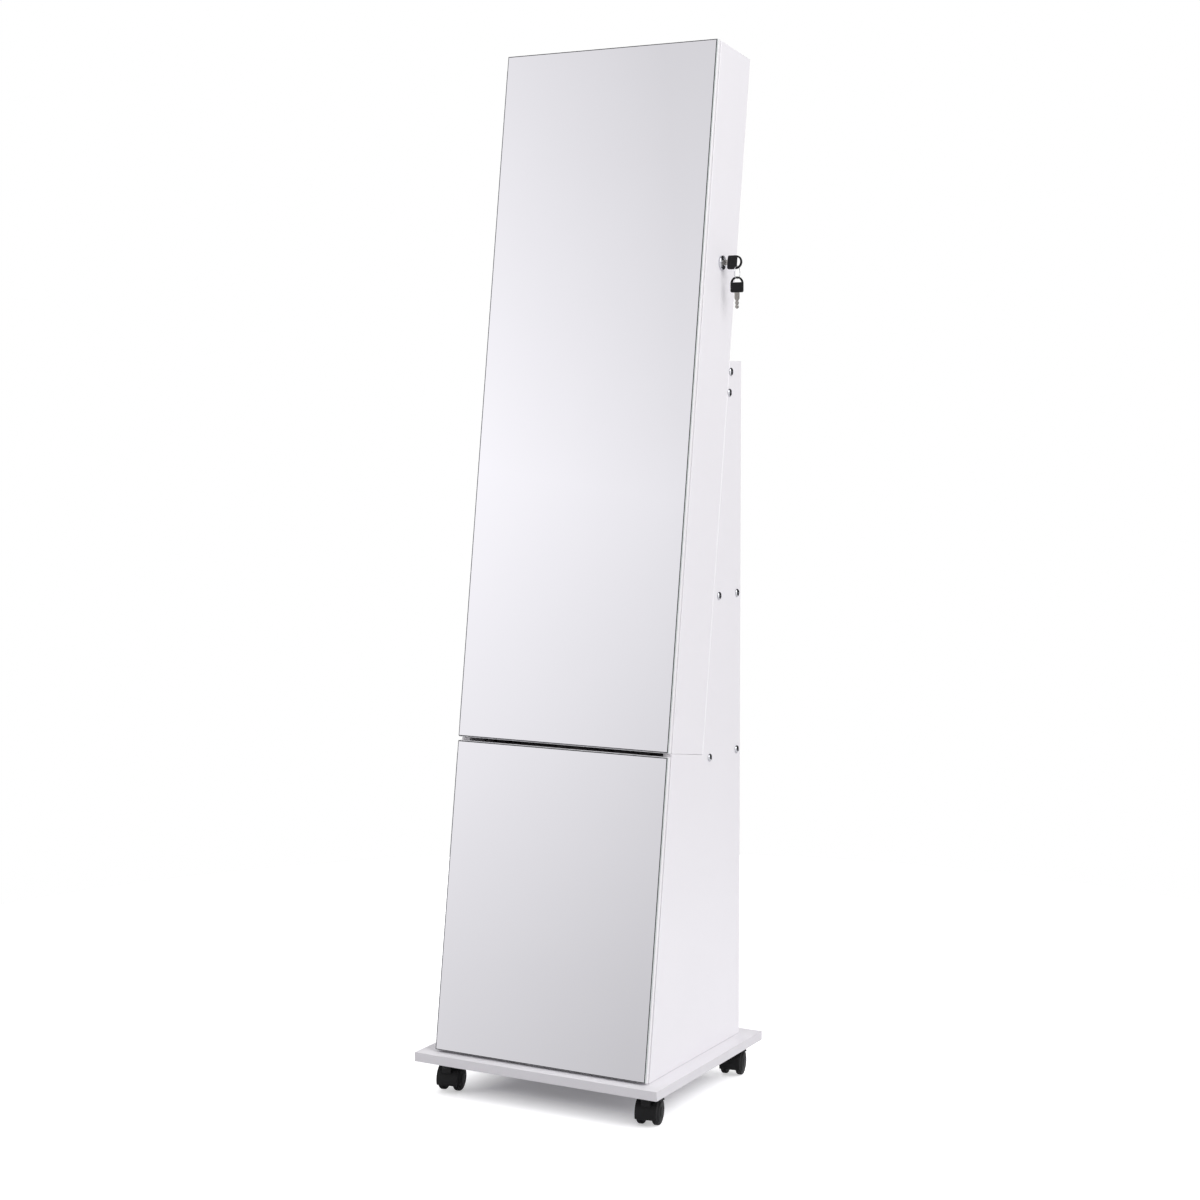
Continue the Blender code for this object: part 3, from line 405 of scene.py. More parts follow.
# cam lock: rounded collar, threaded barrel, plug with its keyway, nut
camLock = {
    "collarMm": 11.0, "collarThickMm": 3.0, "barrelMm": 9.0, "boreMm": 6.3, "steps": 48,
    "mouthMm": ((0, 0.8), (0.5, 0.3)),  # out from the bore, down from the face
    "grooveMm": ((3.1, 0.3), (2.7, 1.1), (2.1, 1.1), (1.7, 0.2)),  # in from the collar's edge, down
    "rimMm": 1.4, "rimDegrees": (0, 10, 30, 50, 70, 90),
    "plainMm": 12, "pitchMm": 1.5, "threadMm": 0.45, "endMm": 0.3,
    "plugMm": 6.0, "plugSunkMm": 0.7, "plugEaseMm": 0.3, "tenonMm": 3.0, "tenonInMm": 2,
    "keywayMm": (1.8, 7.8), "keywayDeepMm": 20, "keyLooseMm": 0.3,
    "coneShares": (1.02, 1.6), "coneMm": 1.6, "nutLooseMm": 0.15}
lockLow, lockHigh = boxOf("lock_body", leanPlace)
lockAxis = Vector((0, (lockLow.y + lockHigh.y) / 2, (lockLow.z + lockHigh.z) / 2))
lockPlace = leanPlace @ moveTo(lockAxis) @ alongX
lockFace, barrelEnd = lockHigh.x, lockLow.x
seat = lockFace - camLock["collarThickMm"] * mm
bore, collar, barrel, rim = (camLock[k] * mm for k in ("boreMm", "collarMm", "barrelMm", "rimMm"))
profile = [(bore, barrelEnd)]
profile += [(bore + out * mm, lockFace - down * mm) for out, down in camLock["mouthMm"]]
profile += [(collar - back * mm, lockFace - down * mm) for back, down in camLock["grooveMm"]]
profile += [(collar - rim * (1 - sin(radians(a))), lockFace - rim * (1 - cos(radians(a))))
    for a in camLock["rimDegrees"]]
profile += [(collar, seat), (barrel, seat)]
pitch, threadTop = camLock["pitchMm"] * mm, seat - camLock["plainMm"] * mm
for i in range(int((threadTop - mm - barrelEnd) / pitch)):
    crest = threadTop - i * pitch
    profile += [(barrel, crest), (barrel - camLock["threadMm"] * mm, crest - pitch / 2)]
profile.append((barrel - camLock["endMm"] * mm, barrelEnd))
shape = newTurned(profile, camLock["steps"], closed=True)
newPiece("lockBarrel", placed(shape, lockPlace), "cabinet", *chrome, ("lock_body",))

plugLow = boxOf("lock_plug", leanPlace)[0]
plug, tenon, sunk, ease = (camLock[k] * mm for k in ("plugMm", "tenonMm", "plugSunkMm", "plugEaseMm"))
plugFace = lockFace - sunk
profile = [(0, barrelEnd), (plug, barrelEnd), (plug, plugFace - ease), (plug - ease, plugFace), (0, plugFace)]
wide, tall = ((size / 2 + camLock["keyLooseMm"]) * mm for size in camLock["keywayMm"])
keyway = newBox((-tall, -wide, lockFace - camLock["keywayDeepMm"] * mm), (tall, wide, lockFace + mm))
shape = carved(newTurned(profile, camLock["steps"]), keyway)
square = newBox((-tenon, -tenon, plugLow.x), (tenon, tenon, barrelEnd + camLock["tenonInMm"] * mm))
shape = joined((shape, soften(square, ease)))
newPiece("lockPlug", placed(shape, lockPlace), "lock_core", *chrome, ("lock_plug",), crease=30)

nutLow, nutHigh = boxOf("lock_nut", leanPlace)
flats = (nutHigh.z - nutLow.z) / 2  # half across the flats
nut = newPlate(arc((0, 0), flats / cos(pi / 6), 0, 300, 5), nutLow.x, nutHigh.x)
under, over, hole = nutLow.x - mm, nutHigh.x + mm, barrel + camLock["nutLooseMm"] * mm
coneIn, coneOut = (flats * share for share in camLock["coneShares"])
cone = [(coneIn, under), (coneOut, under), (coneOut, nutLow.x + camLock["coneMm"] * mm)]
nut = carved(nut, newTurned(cone, camLock["steps"], closed=True))
nut = carved(nut, newTurned([(0, under), (hole, under), (hole, over), (0, over)], camLock["steps"]))
nutPlace = lockPlace @ Matrix.Rotation(pi / 2, 4, "Z")
newPiece("lockNut", placed(nut, nutPlace), "cabinet", *zinc, ("lock_nut",), crease=30)
print("lock made")


# keys: arched plastic heads moulded round milled blades, on a split ring
keyCut = {
    "neckMm": 7, "headMm": 24, "wideMm": 21, "thickMm": 3.4, "rimMm": 2.6, "slotMm": 6.1, "cornerMm": 2.5,
    "roundMm": 0.6, "panelMm": (9.5, 15.0, 0.35), "panelRoundMm": 1.2,
    "archSteps": 28, "cornerSteps": 6, "slotSteps": 24,
    "bladeMm": (1.8, 7.8), "bladeInMm": 3, "bladeDeepMm": 17.5, "bladeEaseMm": 0.1,
    "shoulderMm": 10, "shoulderCutMm": (1.2, 0.5), "grooveMm": (1.5, 0.4), "grooveInMm": 4,
    "bumps": 2, "bumpPitchMm": 6.0, "bumpStart": 0.45, "bumpMm": 5.6, "waistMm": 3.8,
    "valleyMm": (0.6, -0.4), "crestMm": ((0.8, 0.15), (0, 0), (-0.8, 0.2)),  # along the blade, down
    "tip": ((0.7, 0.7), (0, 0.3))}  # millimetres from the end, share of the waist


def newKeyHead():
    half, start, end = keyCut["wideMm"] / 2, keyCut["neckMm"], keyCut["neckMm"] + keyCut["headMm"]
    corner, thick, arch = keyCut["cornerMm"], keyCut["thickMm"] * mm / 2, end - half
    outline, steps = arc((arch, 0), half, -90, 90, keyCut["archSteps"]), keyCut["cornerSteps"]
    outline += arc((start + corner, half - corner), corner, 90, 180, steps)
    outline += arc((start + corner, corner - half), corner, 180, 270, steps)
    shape = newPlate(inMetres(outline), -thick, thick)
    inner = half - keyCut["rimMm"]
    edge = arch + inner - keyCut["slotMm"]  # the slot's straight edge
    reach = degrees(acos((edge - arch) / inner))
    slot = inMetres(arc((arch, 0), inner, -reach, reach, keyCut["slotSteps"]))
    slot = newPlate(slot, -2 * thick, 2 * thick)
    shape = soften(carved(shape, slot), keyCut["roundMm"] * mm, 3, 40)
    long, wide, deep = (v * mm for v in keyCut["panelMm"])
    middle = (start + edge) / 2 * mm
    for side in (-1, 1):
        low, high = sorted((side * (thick - deep), side * (thick + mm)))
        panel = newBox((middle - long / 2, -wide / 2, low), (middle + long / 2, wide / 2, high))
        shape = carved(shape, roundPosts(panel, 2, keyCut["panelRoundMm"] * mm, 4))
    return shape


def newKeyBlade():
    deep, shoulder = keyCut["bladeDeepMm"], keyCut["neckMm"] - keyCut["shoulderMm"]
    bump, waist, full = keyCut["bumpMm"] / 2, keyCut["waistMm"] / 2, keyCut["bladeMm"][1] / 2
    cutLong, cutDeep = keyCut["shoulderCutMm"]
    upper = [(keyCut["neckMm"] + keyCut["bladeInMm"], full), (shoulder + cutLong, full),
        (shoulder, full - cutDeep)]
    for i in range(keyCut["bumps"]):
        low = shoulder - keyCut["bumpPitchMm"] * (i + keyCut["bumpStart"])
        crest = low - keyCut["bumpPitchMm"] / 2
        upper += [(low + along, waist) for along in keyCut["valleyMm"]]
        upper += [(crest + along, bump - down) for along, down in keyCut["crestMm"]]
    upper += [(along - deep, waist * share) for along, share in keyCut["tip"]]
    outline = upper + [(x, -y) for x, y in reversed(upper)]
    thick = keyCut["bladeMm"][0] / 2
    shape = newPlate(inMetres(outline), -thick * mm, thick * mm)
    wide, sunk = (v * mm for v in keyCut["grooveMm"])
    for side in (-1, 1):
        low, high = sorted((side * (thick * mm - sunk), side * (thick + 1) * mm))
        groove = newBox((-(deep + 2) * mm, -wide / 2, low), (keyCut["grooveInMm"] * mm, wide / 2, high))
        shape = carved(shape, groove)
    return soften(shape, keyCut["bladeEaseMm"] * mm, 1, 40)


spareLow, spareHigh = boxOf("spare_key")
keyPlace = leanPlace @ moveTo(lockAxis + Vector((lockFace, 0, 0))) @ upright
keyLength = (keyCut["neckMm"] + keyCut["headMm"]) * mm
spareTop = Vector(((spareLow.x + spareHigh.x) / 2, (spareLow.y + spareHigh.y) / 2, spareHigh.z - keyLength))
sparePlace = moveTo(spareTop) @ Matrix.Rotation(-pi / 2, 4, "Y") @ upright
for node, body, place in (("key", "lock_core", keyPlace), ("spare_key", "spare_key", sparePlace)):
    name = camelName(node)
    newPiece(name + "Head", placed(newKeyHead(), place), body, ("keyPlastic",), "black_plastic", (node,))
    newPiece(name + "Blade", placed(newKeyBlade(), place), body, ("nickelBrass",), "zinc_steel", crease=30)

splitRing = {"radiusMm": 9.8, "wireMm": 0.36, "turns": 1.9, "steps": 96, "sides": 10}
ringLow, ringHigh = boxOf("key_ring")
thin = splitRing["wireMm"] * mm
wire = bmesh.new()
bmesh.ops.create_circle(wire, cap_ends=True, radius=thin, segments=splitRing["sides"],
    matrix=moveTo((splitRing["radiusMm"] * mm, 0, -thin)) @ alongY)
bmesh.ops.spin(wire, geom=wire.verts[:] + wire.edges[:] + wire.faces[:], cent=(0, 0, 0), axis=(0, 0, 1),
    dvec=(0, 0, 2 * thin / splitRing["steps"]), angle=2 * pi * splitRing["turns"],
    steps=splitRing["steps"], use_merge=False)
place = moveTo((ringLow + ringHigh) / 2) @ alongX
newPiece("splitRing", placed(wire, place), "key_ring", *chrome, ("key_ring",), crease=60)
print("keys made")


# castors: hood over a pair of wheels, on a plate held by four screws
castor = {
    "headingDegrees": 10, "trailMm": 15, "wheelMm": 20.0, "gapMm": 16, "treadMm": 8.5, "domeMm": 2.5,
    "hubMm": 9, "axleMm": 3, "wheelSteps": 56,
    "innerMm": ((6, 0.4), (1.5, 0.4), (1.2, 0)),  # in from the hub, back from the inner face
    # in from the tread, out from the inner face, and then from the outer one
    "tyreMm": ((2.2, 0), (1.0, 0.35), (0.25, 1.1), (0, 2.2), (0, 4.0), (0.5, 4.3), (0.5, 4.9), (0, 5.2)),
    "flankMm": ((0, -1.8), (0.35, -0.8), (1.2, 0), (2.2, 0.35), (2.6, 0.05), (3.4, 0.1), (3.8, 0.75)),
    "capMm": ((3, 0.9), (0.6, 0.25), (0, 0.7), (-0.8, 0.7), (-1.3, 0.2)),  # out from the hub, down
    "hoodGapMm": 1.25, "hoodThickMm": 2.3, "hoodHalfMm": 17, "hoodDegrees": (35, 200), "hoodSteps": 40,
    "hoodEaseMm": 0.8, "webMm": 15, "webRadiusMm": 13.5, "webInMm": 1, "webShortDegrees": 4,
    "webSteps": (36, 24), "webEaseMm": 0.5,
    "bossMm": 9, "bossTallMm": 10, "bossGapMm": 0.3, "bossSteps": 40, "bossFootMm": ((0.6, 1), (0, 0.4)),
    "bossTopMm": ((0, 3.2), (0.5, 2.7), (0.5, 1.9), (0, 1.4), (0, 0.5), (0.5, 0)),  # in, down
    "neckMm": (-7, 14, 31.5), "neckInMm": 0.3, "neckUpMm": 2, "neckEaseMm": 1.2,
    "plateMm": 2.5, "plateCornerMm": 5, "plateEaseMm": 0.4, "screwMm": (3.4, 0, 1.7, -1.2, 1.2),
    "screwInsetMm": 5.5}
swivels = {j["child"]: Vector(j["pos_m"]) for j in frame["joints"] if j["name"].endswith("_swivel")}


def newWheels():
    r, hub, inner = castor["wheelMm"], castor["hubMm"], castor["gapMm"] / 2
    outer = inner + castor["treadMm"]
    crown = outer + castor["domeMm"]
    half = [(hub - a, inner - b) for a, b in castor["innerMm"]]
    half += [(r - a, inner + b) for a, b in castor["tyreMm"]]
    half += [(r - a, outer + b) for a, b in castor["flankMm"]]
    half += [(hub + a, crown - b) for a, b in castor["capMm"]] + [(castor["axleMm"], crown), (0, crown)]
    profile = [(a, -b) for a, b in reversed(half)] + half
    return newTurned(inMetres(profile), castor["wheelSteps"])


def newHood():
    r, half, halfWeb = castor["wheelMm"] + castor["hoodGapMm"], castor["hoodHalfMm"], castor["webMm"] / 2
    axle = (castor["trailMm"], castor["wheelMm"])
    (back, front), steps = castor["hoodDegrees"], castor["hoodSteps"]
    fender = arc(axle, r + castor["hoodThickMm"], back, front, steps) + arc(axle, r, front, back, steps)
    short, (outerSteps, innerSteps) = castor["webShortDegrees"], castor["webSteps"]
    web = arc(axle, r + castor["webInMm"], back + short, front - short, outerSteps)
    web += arc(axle, castor["webRadiusMm"], front - short, back + 360 - short, innerSteps)
    shapes = []
    for outline, side, ease, segments in ((fender, half, "hoodEaseMm", 3), (web, halfWeb, "webEaseMm", 2)):
        shape = soften(newPlate(inMetres(outline), -side * mm, side * mm), castor[ease] * mm, segments)
        shapes.append(placed(shape, endToSide))
    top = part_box("castor_front_left_plate")[1].z / mm - castor["plateMm"] - castor["bossGapMm"]
    foot, boss = top - castor["bossTallMm"], castor["bossMm"]
    turned = [(boss - a, foot - b) for a, b in castor["bossFootMm"]]
    turned += [(boss - a, top - b) for a, b in castor["bossTopMm"]]
    turned = [(0, turned[0][1])] + turned + [(0, top)]
    shapes.append(newTurned(inMetres(turned), castor["bossSteps"]))
    start, end, low = (v * mm for v in castor["neckMm"])
    side = (halfWeb - castor["neckInMm"]) * mm
    neck = newBox((-side, start, low), (side, end, (foot + castor["neckUpMm"]) * mm))
    shapes.append(soften(neck, castor["neckEaseMm"] * mm, 3))
    return joined(shapes)


heading = Matrix.Rotation(radians(castor["headingDegrees"]), 4, "Z")
axlePlace = moveTo((0, castor["trailMm"] * mm, castor["wheelMm"] * mm)) @ alongX
for corner in ("front_left", "front_right", "back_left", "back_right"):
    spot = swivels["castor_" + corner]
    label = corner.title().replace("_", "")
    place = moveTo((spot.x, spot.y, 0)) @ heading
    newPiece("castorHood" + label, placed(newHood(), place), "castor_" + corner, *nylon,
        ("castor_%s_hood" % corner,))
    newPiece("castorWheels" + label, placed(newWheels(), place @ axlePlace), "castor_%s_wheels" % corner,
        *nylon, ("castor_%s_wheels" % corner,), crease=50)
    low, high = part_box("castor_%s_plate" % corner)
    under = high.z - castor["plateMm"] * mm
    steel = roundPosts(newBox((low.x, low.y, under), high), 2, castor["plateCornerMm"] * mm, 6)
    shapes = [soften(steel, castor["plateEaseMm"] * mm, 2)]
    inset = castor["screwInsetMm"] * mm
    for x in (low.x + inset, high.x - inset):
        for y in (low.y + inset, high.y - inset):
            head = newScrew(castor["screwMm"])
            shapes.append(placed(head, moveTo((x, y, under)) @ headDown))
    newPiece("castorPlate" + label, joined(shapes), "cabinet", *zinc, ("castor_%s_plate" % corner,),
        crease=30)
print("castors made")


# long hinges: thin leaves, rolled knuckles with a bead at each end, and the pin through them
longHinge = {
    "axisX": -0.188, "axisDepth": 0.01115, "knuckles": {"upper": 13, "lower": 7}, "knuckleMm": 2.7,
    "boreMm": 1.45, "beadMm": 0.3, "gapMm": 0.6, "steps": 20, "pinSteps": 16,
    "leafMm": 0.7, "leafFromMm": 3, "leafFrontMm": (0.15, -0.85), "armMm": (1.6, 3.5),
    "screwMm": (2.6, -0.6, -0.02, -0.65, 1), "holeMm": 2.75, "screwFromMm": 8.5, "screwEveryMm": 105}
axisX, axisDepth = longHinge["axisX"], longHinge["axisDepth"]
pinPlace = moveTo((axisX, axisDepth, 0))
leafThick, knuckle, bore = (longHinge[k] * mm for k in ("leafMm", "knuckleMm", "boreMm"))
bead, gap = longHinge["beadMm"] * mm, longHinge["gapMm"] * mm
leafFrom, screwFrom = (axisX + longHinge[k] * mm for k in ("leafFromMm", "screwFromMm"))
armFrom, armTo = (axisX + v * mm for v in longHinge["armMm"])
for door in ("upper", "lower"):
    count = longHinge["knuckles"][door]
    for first, part, body in ((0, "fixed_leaf", "cabinet"), (1, "door_leaf", door + "_door")):
        node = "%s_hinge_%s" % (door, part)
        low, high = boxOf(node, leanPlace)
        tall = high.z - low.z
        front = axisDepth + longHinge["leafFrontMm"][first] * mm
        back = front + leafThick
        leaf = newBox((leafFrom, front, low.z), (high.x, back, high.z))
        outward = alongY if first else alongY @ headDown  # heads face the gap between the leaves
        fixings = round(tall / (longHinge["screwEveryMm"] * mm))
        rises = [low.z + (i + 0.5) * tall / fixings for i in range(fixings)]
        places = [moveTo((screwFrom, back if first else front, rise)) @ outward for rise in rises]
        shapes = [screwedDown(leaf, places, longHinge["holeMm"], longHinge["screwMm"])]
        for i in range(first, count, 2):
            start = low.z + i * tall / count + gap / 2
            end = start + tall / count - gap
            ring = [(bore, start), (knuckle - bead, start), (knuckle, start + bead), (knuckle, end - bead),
                (knuckle - bead, end), (bore, end)]
            shapes.append(placed(newTurned(ring, longHinge["steps"], closed=True), pinPlace))
            shapes.append(newBox((armFrom, front, start), (armTo, back, end)))
        name = door + "Hinge" + part.title().replace("_", "")
        newPiece(name, placed(joined(shapes), leanPlace), body, *zinc, (node,))
    low, high = boxOf(door + "_hinge_pin", leanPlace)
    r = (high.y - low.y) / 2
    pin = [(0, low.z), (r - bead, low.z), (r, low.z + bead), (r, high.z - bead), (r - bead, high.z),
        (0, high.z)]
    shape = placed(newTurned(pin, longHinge["pinSteps"]), leanPlace @ pinPlace)
    newPiece(door + "HingePin", shape, "cabinet", *zinc, (door + "_hinge_pin",))
print("hinges made")


# push latch of the lower door: housing with a sprung plunger under the deck, strike plate on the door
pushLatch = {
    "atX": 0.142, "setBackMm": 2, "bodyMm": (16, 52, 13), "bodyRoundMm": 1.5, "steps": 32,
    "lugMm": (36, 13, 2.6), "lugRoundMm": 0.9, "lugAt": 0.6, "lugScrewMm": (3.2, 0, 1.6, -2, 1.4),
    "lugScrewInMm": 4.5, "axisMm": 7, "collarMm": (6.2, 2, 0.6),  # radius, height, ease
    "plungerMm": 4.2, "plungerRootMm": 3, "plungerEaseMm": (1.0, 0.8), "meetMm": 8, "clearMm": 0.75,
    "strikeMm": (38, 13, 1.0), "strikeRoundMm": 4, "strikeEaseMm": 0.25, "strikeHoleMm": 2.75,
    "strikeScrewMm": (2.6, -0.8, -0.05, -0.95, 1), "strikeScrewAtMm": 13}
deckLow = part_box("deck_board")[0]
latchSpot = Vector((pushLatch["atX"], deckLow.y + pushLatch["setBackMm"] * mm, deckLow.z))
wide, long, tall = (v * mm for v in pushLatch["bodyMm"])
housing = newBox(latchSpot + Vector((-wide / 2, 0, -tall)), latchSpot + Vector((wide / 2, long, 0)))
lugWide, lugDeep, lugThick = (v * mm for v in pushLatch["lugMm"])
lugMiddle = latchSpot + Vector((0, long * pushLatch["lugAt"], 0))
lug = newBox(lugMiddle + Vector((-lugWide / 2, -lugDeep / 2, -lugThick)),
    lugMiddle + Vector((lugWide / 2, lugDeep / 2, 0)))
latchAxis = latchSpot - Vector((0, 0, pushLatch["axisMm"] * mm))
towardDoor = moveTo(latchAxis) @ Matrix.Rotation(pi / 2, 4, "X")
neck, neckTall, ease = (v * mm for v in pushLatch["collarMm"])
collar = [(0, -neckTall), (neck, -neckTall), (neck, neckTall - ease), (neck - ease, neckTall), (0, neckTall)]
shapes = [soften(housing, pushLatch["bodyRoundMm"] * mm, 3), soften(lug, pushLatch["lugRoundMm"] * mm, 3),
    placed(newTurned(collar, pushLatch["steps"]), towardDoor)]
newPiece("latchHousing", joined(shapes), "cabinet", *nylon)
screws = []
for side in (-1, 1):
    spot = lugMiddle + Vector((side * (lugWide / 2 - pushLatch["lugScrewInMm"] * mm), 0, -lugThick))
    head = newScrew(pushLatch["lugScrewMm"])
    screws.append(placed(head, moveTo(spot) @ headDown))
newPiece("latchScrews", joined(screws), "cabinet", *zinc, crease=30)

doorBack = boxOf("lower_door_board", leanPlace)[1].y
strikeLong, strikeTall, strikeThick = (v * mm for v in pushLatch["strikeMm"])
strikeFace = doorBack + strikeThick
meeting = towardDoor @ Vector((0, 0, pushLatch["meetMm"] * mm))  # about where plunger and strike meet
axisHeight = (leanPlace.inverted() @ meeting).z
reach = latchSpot.y - (leanPlace @ Vector((0, strikeFace, axisHeight))).y - pushLatch["clearMm"] * mm
rod, root = pushLatch["plungerMm"] * mm, pushLatch["plungerRootMm"] * mm
across, along = (v * mm for v in pushLatch["plungerEaseMm"])
tip = [(0, -root), (rod, -root), (rod, reach - along), (rod - across, reach), (0, reach)]
newPiece("latchPlunger", placed(newTurned(tip, pushLatch["steps"]), towardDoor), "cabinet", *chrome)
plate = newBox((latchSpot.x - strikeLong / 2, doorBack, axisHeight - strikeTall / 2),
    (latchSpot.x + strikeLong / 2, strikeFace, axisHeight + strikeTall / 2))
plate = roundPosts(plate, 1, pushLatch["strikeRoundMm"] * mm, 6)
plate = soften(plate, pushLatch["strikeEaseMm"] * mm, 2, 60)
aside = pushLatch["strikeScrewAtMm"] * mm
places = [moveTo((latchSpot.x + x, strikeFace, axisHeight)) @ alongY for x in (-aside, aside)]
plate = screwedDown(plate, places, pushLatch["strikeHoleMm"], pushLatch["strikeScrewMm"])
newPiece("latchStrike", placed(plate, leanPlace), "lower_door", *zinc, crease=30)
print("latch made")


# inside the box: velvet-faced back, trays with velvet floors, pegs on their rail, bracelet bar
boxFittings = {
    "trayThickMm": 8, "lipMm": 5, "easeMm": 0.8, "railDeepMm": 12, "railEaseMm": 1.5,
    "pegs": 8, "pegPitchMm": 38, "pegMm": 3, "knobMm": 5, "knobDegrees": 135, "pegSteps": 24,
    "pegNeck": ((0.9, 2.1), (1, 3)),  # shares of the peg's radius, and of the knob's
    "pegFoot": (1.15, 1.5), "pegInMm": 2, "barSteps": 40, "cupMm": 8.5, "cupThickMm": 4,
    "cupMouthMm": 0.2, "cupEaseMm": ((1, 0), (0.3, 0.3), (0, 1))}
low, high = boxOf("box_back_panel", leanPlace)
panel = newBox(low, high)
for face in panel.faces:
    face.material_index = 1 if face.calc_center_median().y < low.y + near else 0
newPiece("boxBackPanel", placed(panel, leanPlace), "cabinet", ("melamine", "velvet"), "white_board",
    ("box_back_panel",), crease=None)

for tray in ("lower_tray", "upper_tray", "ring_tray"):
    low, high = boxOf(tray, leanPlace)
    floor, lip = low.z + boxFittings["trayThickMm"] * mm, low.y + boxFittings["lipMm"] * mm
    outline = [(low.y, low.z), (high.y, low.z), (high.y, floor), (lip, floor), (lip, high.z), (low.y, high.z)]
    shape = placed(newPlate(outline, low.x, high.x), endToSide)
    bmesh.ops.recalc_face_normals(shape, faces=shape.faces)
    for face in shape.faces:
        inside = face.normal.z > 0.9 and face.calc_center_median().z < floor + near
        face.material_index = 1 if inside else 0
    edges = [e for e in shape.edges if len(e.link_faces) == 2 and e.calc_face_angle() > 1 and e.is_convex]
    bmesh.ops.bevel(shape, geom=edges, offset=boxFittings["easeMm"] * mm, segments=3, profile=0.5,
        affect="EDGES", material=0, clamp_overlap=True)
    newPiece(tray.split("_")[0] + "Tray", placed(shape, leanPlace), "cabinet", ("melamine", "velvet"),
        "white_board", (tray,), weighted=True)

low, high = boxOf("necklace_rail", leanPlace)
railFront = high.y - boxFittings["railDeepMm"] * mm
shapes = [soften(newBox((low.x, railFront, low.z), high), boxFittings["railEaseMm"] * mm, 3)]
knob, stem, long = boxFittings["knobMm"] * mm, boxFittings["pegMm"] * mm, railFront - low.y
slim, foot = (stem * share for share in boxFittings["pegFoot"])
root = long + boxFittings["pegInMm"] * mm
ball = [radians(a) for a in range(0, boxFittings["knobDegrees"] + 1, 15)]
peg = [(knob * sin(a), knob * (1 - cos(a))) for a in ball]
peg += [(stem * out, knob * along) for out, along in boxFittings["pegNeck"]]
peg += [(slim, long - mm), (foot, long), (foot, root), (0, root)]
for i in range(boxFittings["pegs"]):
    x = (i - (boxFittings["pegs"] - 1) / 2) * boxFittings["pegPitchMm"] * mm
    place = moveTo((x, low.y, (low.z + high.z) / 2)) @ alongY
    shapes.append(placed(newTurned(peg, boxFittings["pegSteps"]), place))
newPiece("necklacePegs", placed(joined(shapes), leanPlace), "cabinet", ("blackLacquer",), "black_plastic",
    ("necklace_rail",), weighted=True)

low, high = boxOf("bracelet_bar", leanPlace)
r, reach = (high.z - low.z) / 2, high.x
cup, cupEnd = boxFittings["cupMm"] * mm, reach - boxFittings["cupThickMm"] * mm
half = [(r, cupEnd - boxFittings["cupMouthMm"] * mm)]
half += [(cup - a * mm, cupEnd + b * mm) for a, b in boxFittings["cupEaseMm"]] + [(cup, reach), (0, reach)]
bar = newTurned([(a, -b) for a, b in reversed(half)] + half, boxFittings["barSteps"])
place = leanPlace @ moveTo((0, (low.y + high.y) / 2, (low.z + high.z) / 2)) @ alongX
newPiece("braceletBar", placed(bar, place), "cabinet", *chrome, ("bracelet_bar",))
print("box fittings made")


# ring cushion: five stuffed velvet rolls sewn down side by side
ringCushion = {
    "rolls": 5, "seamMm": 11, "crownMm": 24, "fullness": 0.55, "endMm": 16, "endTall": 0.62,
    "endPinch": 0.12, "insetMm": 1.0, "cellMm": (5.12, 1.92, 6.0), "sewnBelow": 0.25,
    "pressure": 4.0, "slack": -0.035, "mostMoveMm": 1.8, "frames": 20, "fill": 0.75}
low, high = boxOf("ring_cushion", leanPlace)
inset = ringCushion["insetMm"] * mm
low, high = low + Vector((inset, inset, 0)), high - Vector((inset, inset, 0))
rolls = newBox(low, high)
for axis, cell in enumerate(ringCushion["cellMm"]):
    span = high[axis] - low[axis]
    runs = [e for e in rolls.edges if abs(e.verts[0].co[axis] - e.verts[1].co[axis]) > span / 2]
    bmesh.ops.subdivide_edges(rolls, edges=runs, cuts=max(1, round(span / (cell * mm))), use_grid_fill=True)
seams = []
middle, endTall = (low.y + high.y) / 2, ringCushion["endTall"]
for v in rolls.verts:
    share = (v.co.z - low.z) / (high.z - low.z)
    across = (v.co.y - low.y) / (high.y - low.y) * ringCushion["rolls"]
    puff = abs(sin(pi * across)) ** ringCushion["fullness"]
    toEnd = min(v.co.x - low.x, high.x - v.co.x) / (ringCushion["endMm"] * mm)
    swell = endTall + (1 - endTall) * sin(min(toEnd, 1) * pi / 2)
    top = (ringCushion["seamMm"] + (ringCushion["crownMm"] - ringCushion["seamMm"]) * puff) * mm * swell
    between = 0.05 < across < ringCushion["rolls"] - 0.05  # not at the cushion's two sides
    if share > 0.99 and between and puff < ringCushion["sewnBelow"]:
        seams.append(v.index)
    v.co.z = low.z + share * top
    pinch = 1 - ringCushion["endPinch"] * (1 - swell) / (1 - endTall) * share
    v.co.y = middle + (v.co.y - middle) * pinch
rolls.verts.index_update()
sewn = [v.index for v in rolls.verts if v.co.z < low.z + near] + seams
cushion = newPiece("ringCushionRolls", rolls, "cabinet", ("velvet",), "felt", ("ring_cushion",), crease=80)
group = cushion.vertex_groups.new(name="sewn")
group.add(sewn, 1.0, "REPLACE")
stuffing = cushion.modifiers.new("stuffing", "CLOTH")
stuffing.settings.vertex_group_mass = "sewn"
stuffing.settings.use_pressure = True
stuffing.settings.uniform_pressure_force = ringCushion["pressure"]
stuffing.settings.shrink_min = ringCushion["slack"]
stuffing.settings.effector_weights.gravity = 0
for step in range(1, ringCushion["frames"] + 1):
    scene.frame_set(step)
graph = bpy.context.evaluated_depsgraph_get()
puffed = [v.co.copy() for v in cushion.evaluated_get(graph).data.vertices]
cushion.modifiers.remove(stuffing)
cushion.vertex_groups.remove(group)
scene.frame_set(1)
most = ringCushion["mostMoveMm"] * mm
for v, end in zip(cushion.data.vertices, puffed):
    move = end - v.co
    v.co += move * min(1, most / max(move.length, 1e-9))
cushion.data.transform(leanPlace)
finer = cushion.modifiers.new("finer", "SUBSURF")
finer.levels = finer.render_levels = 1
print("cushion made")
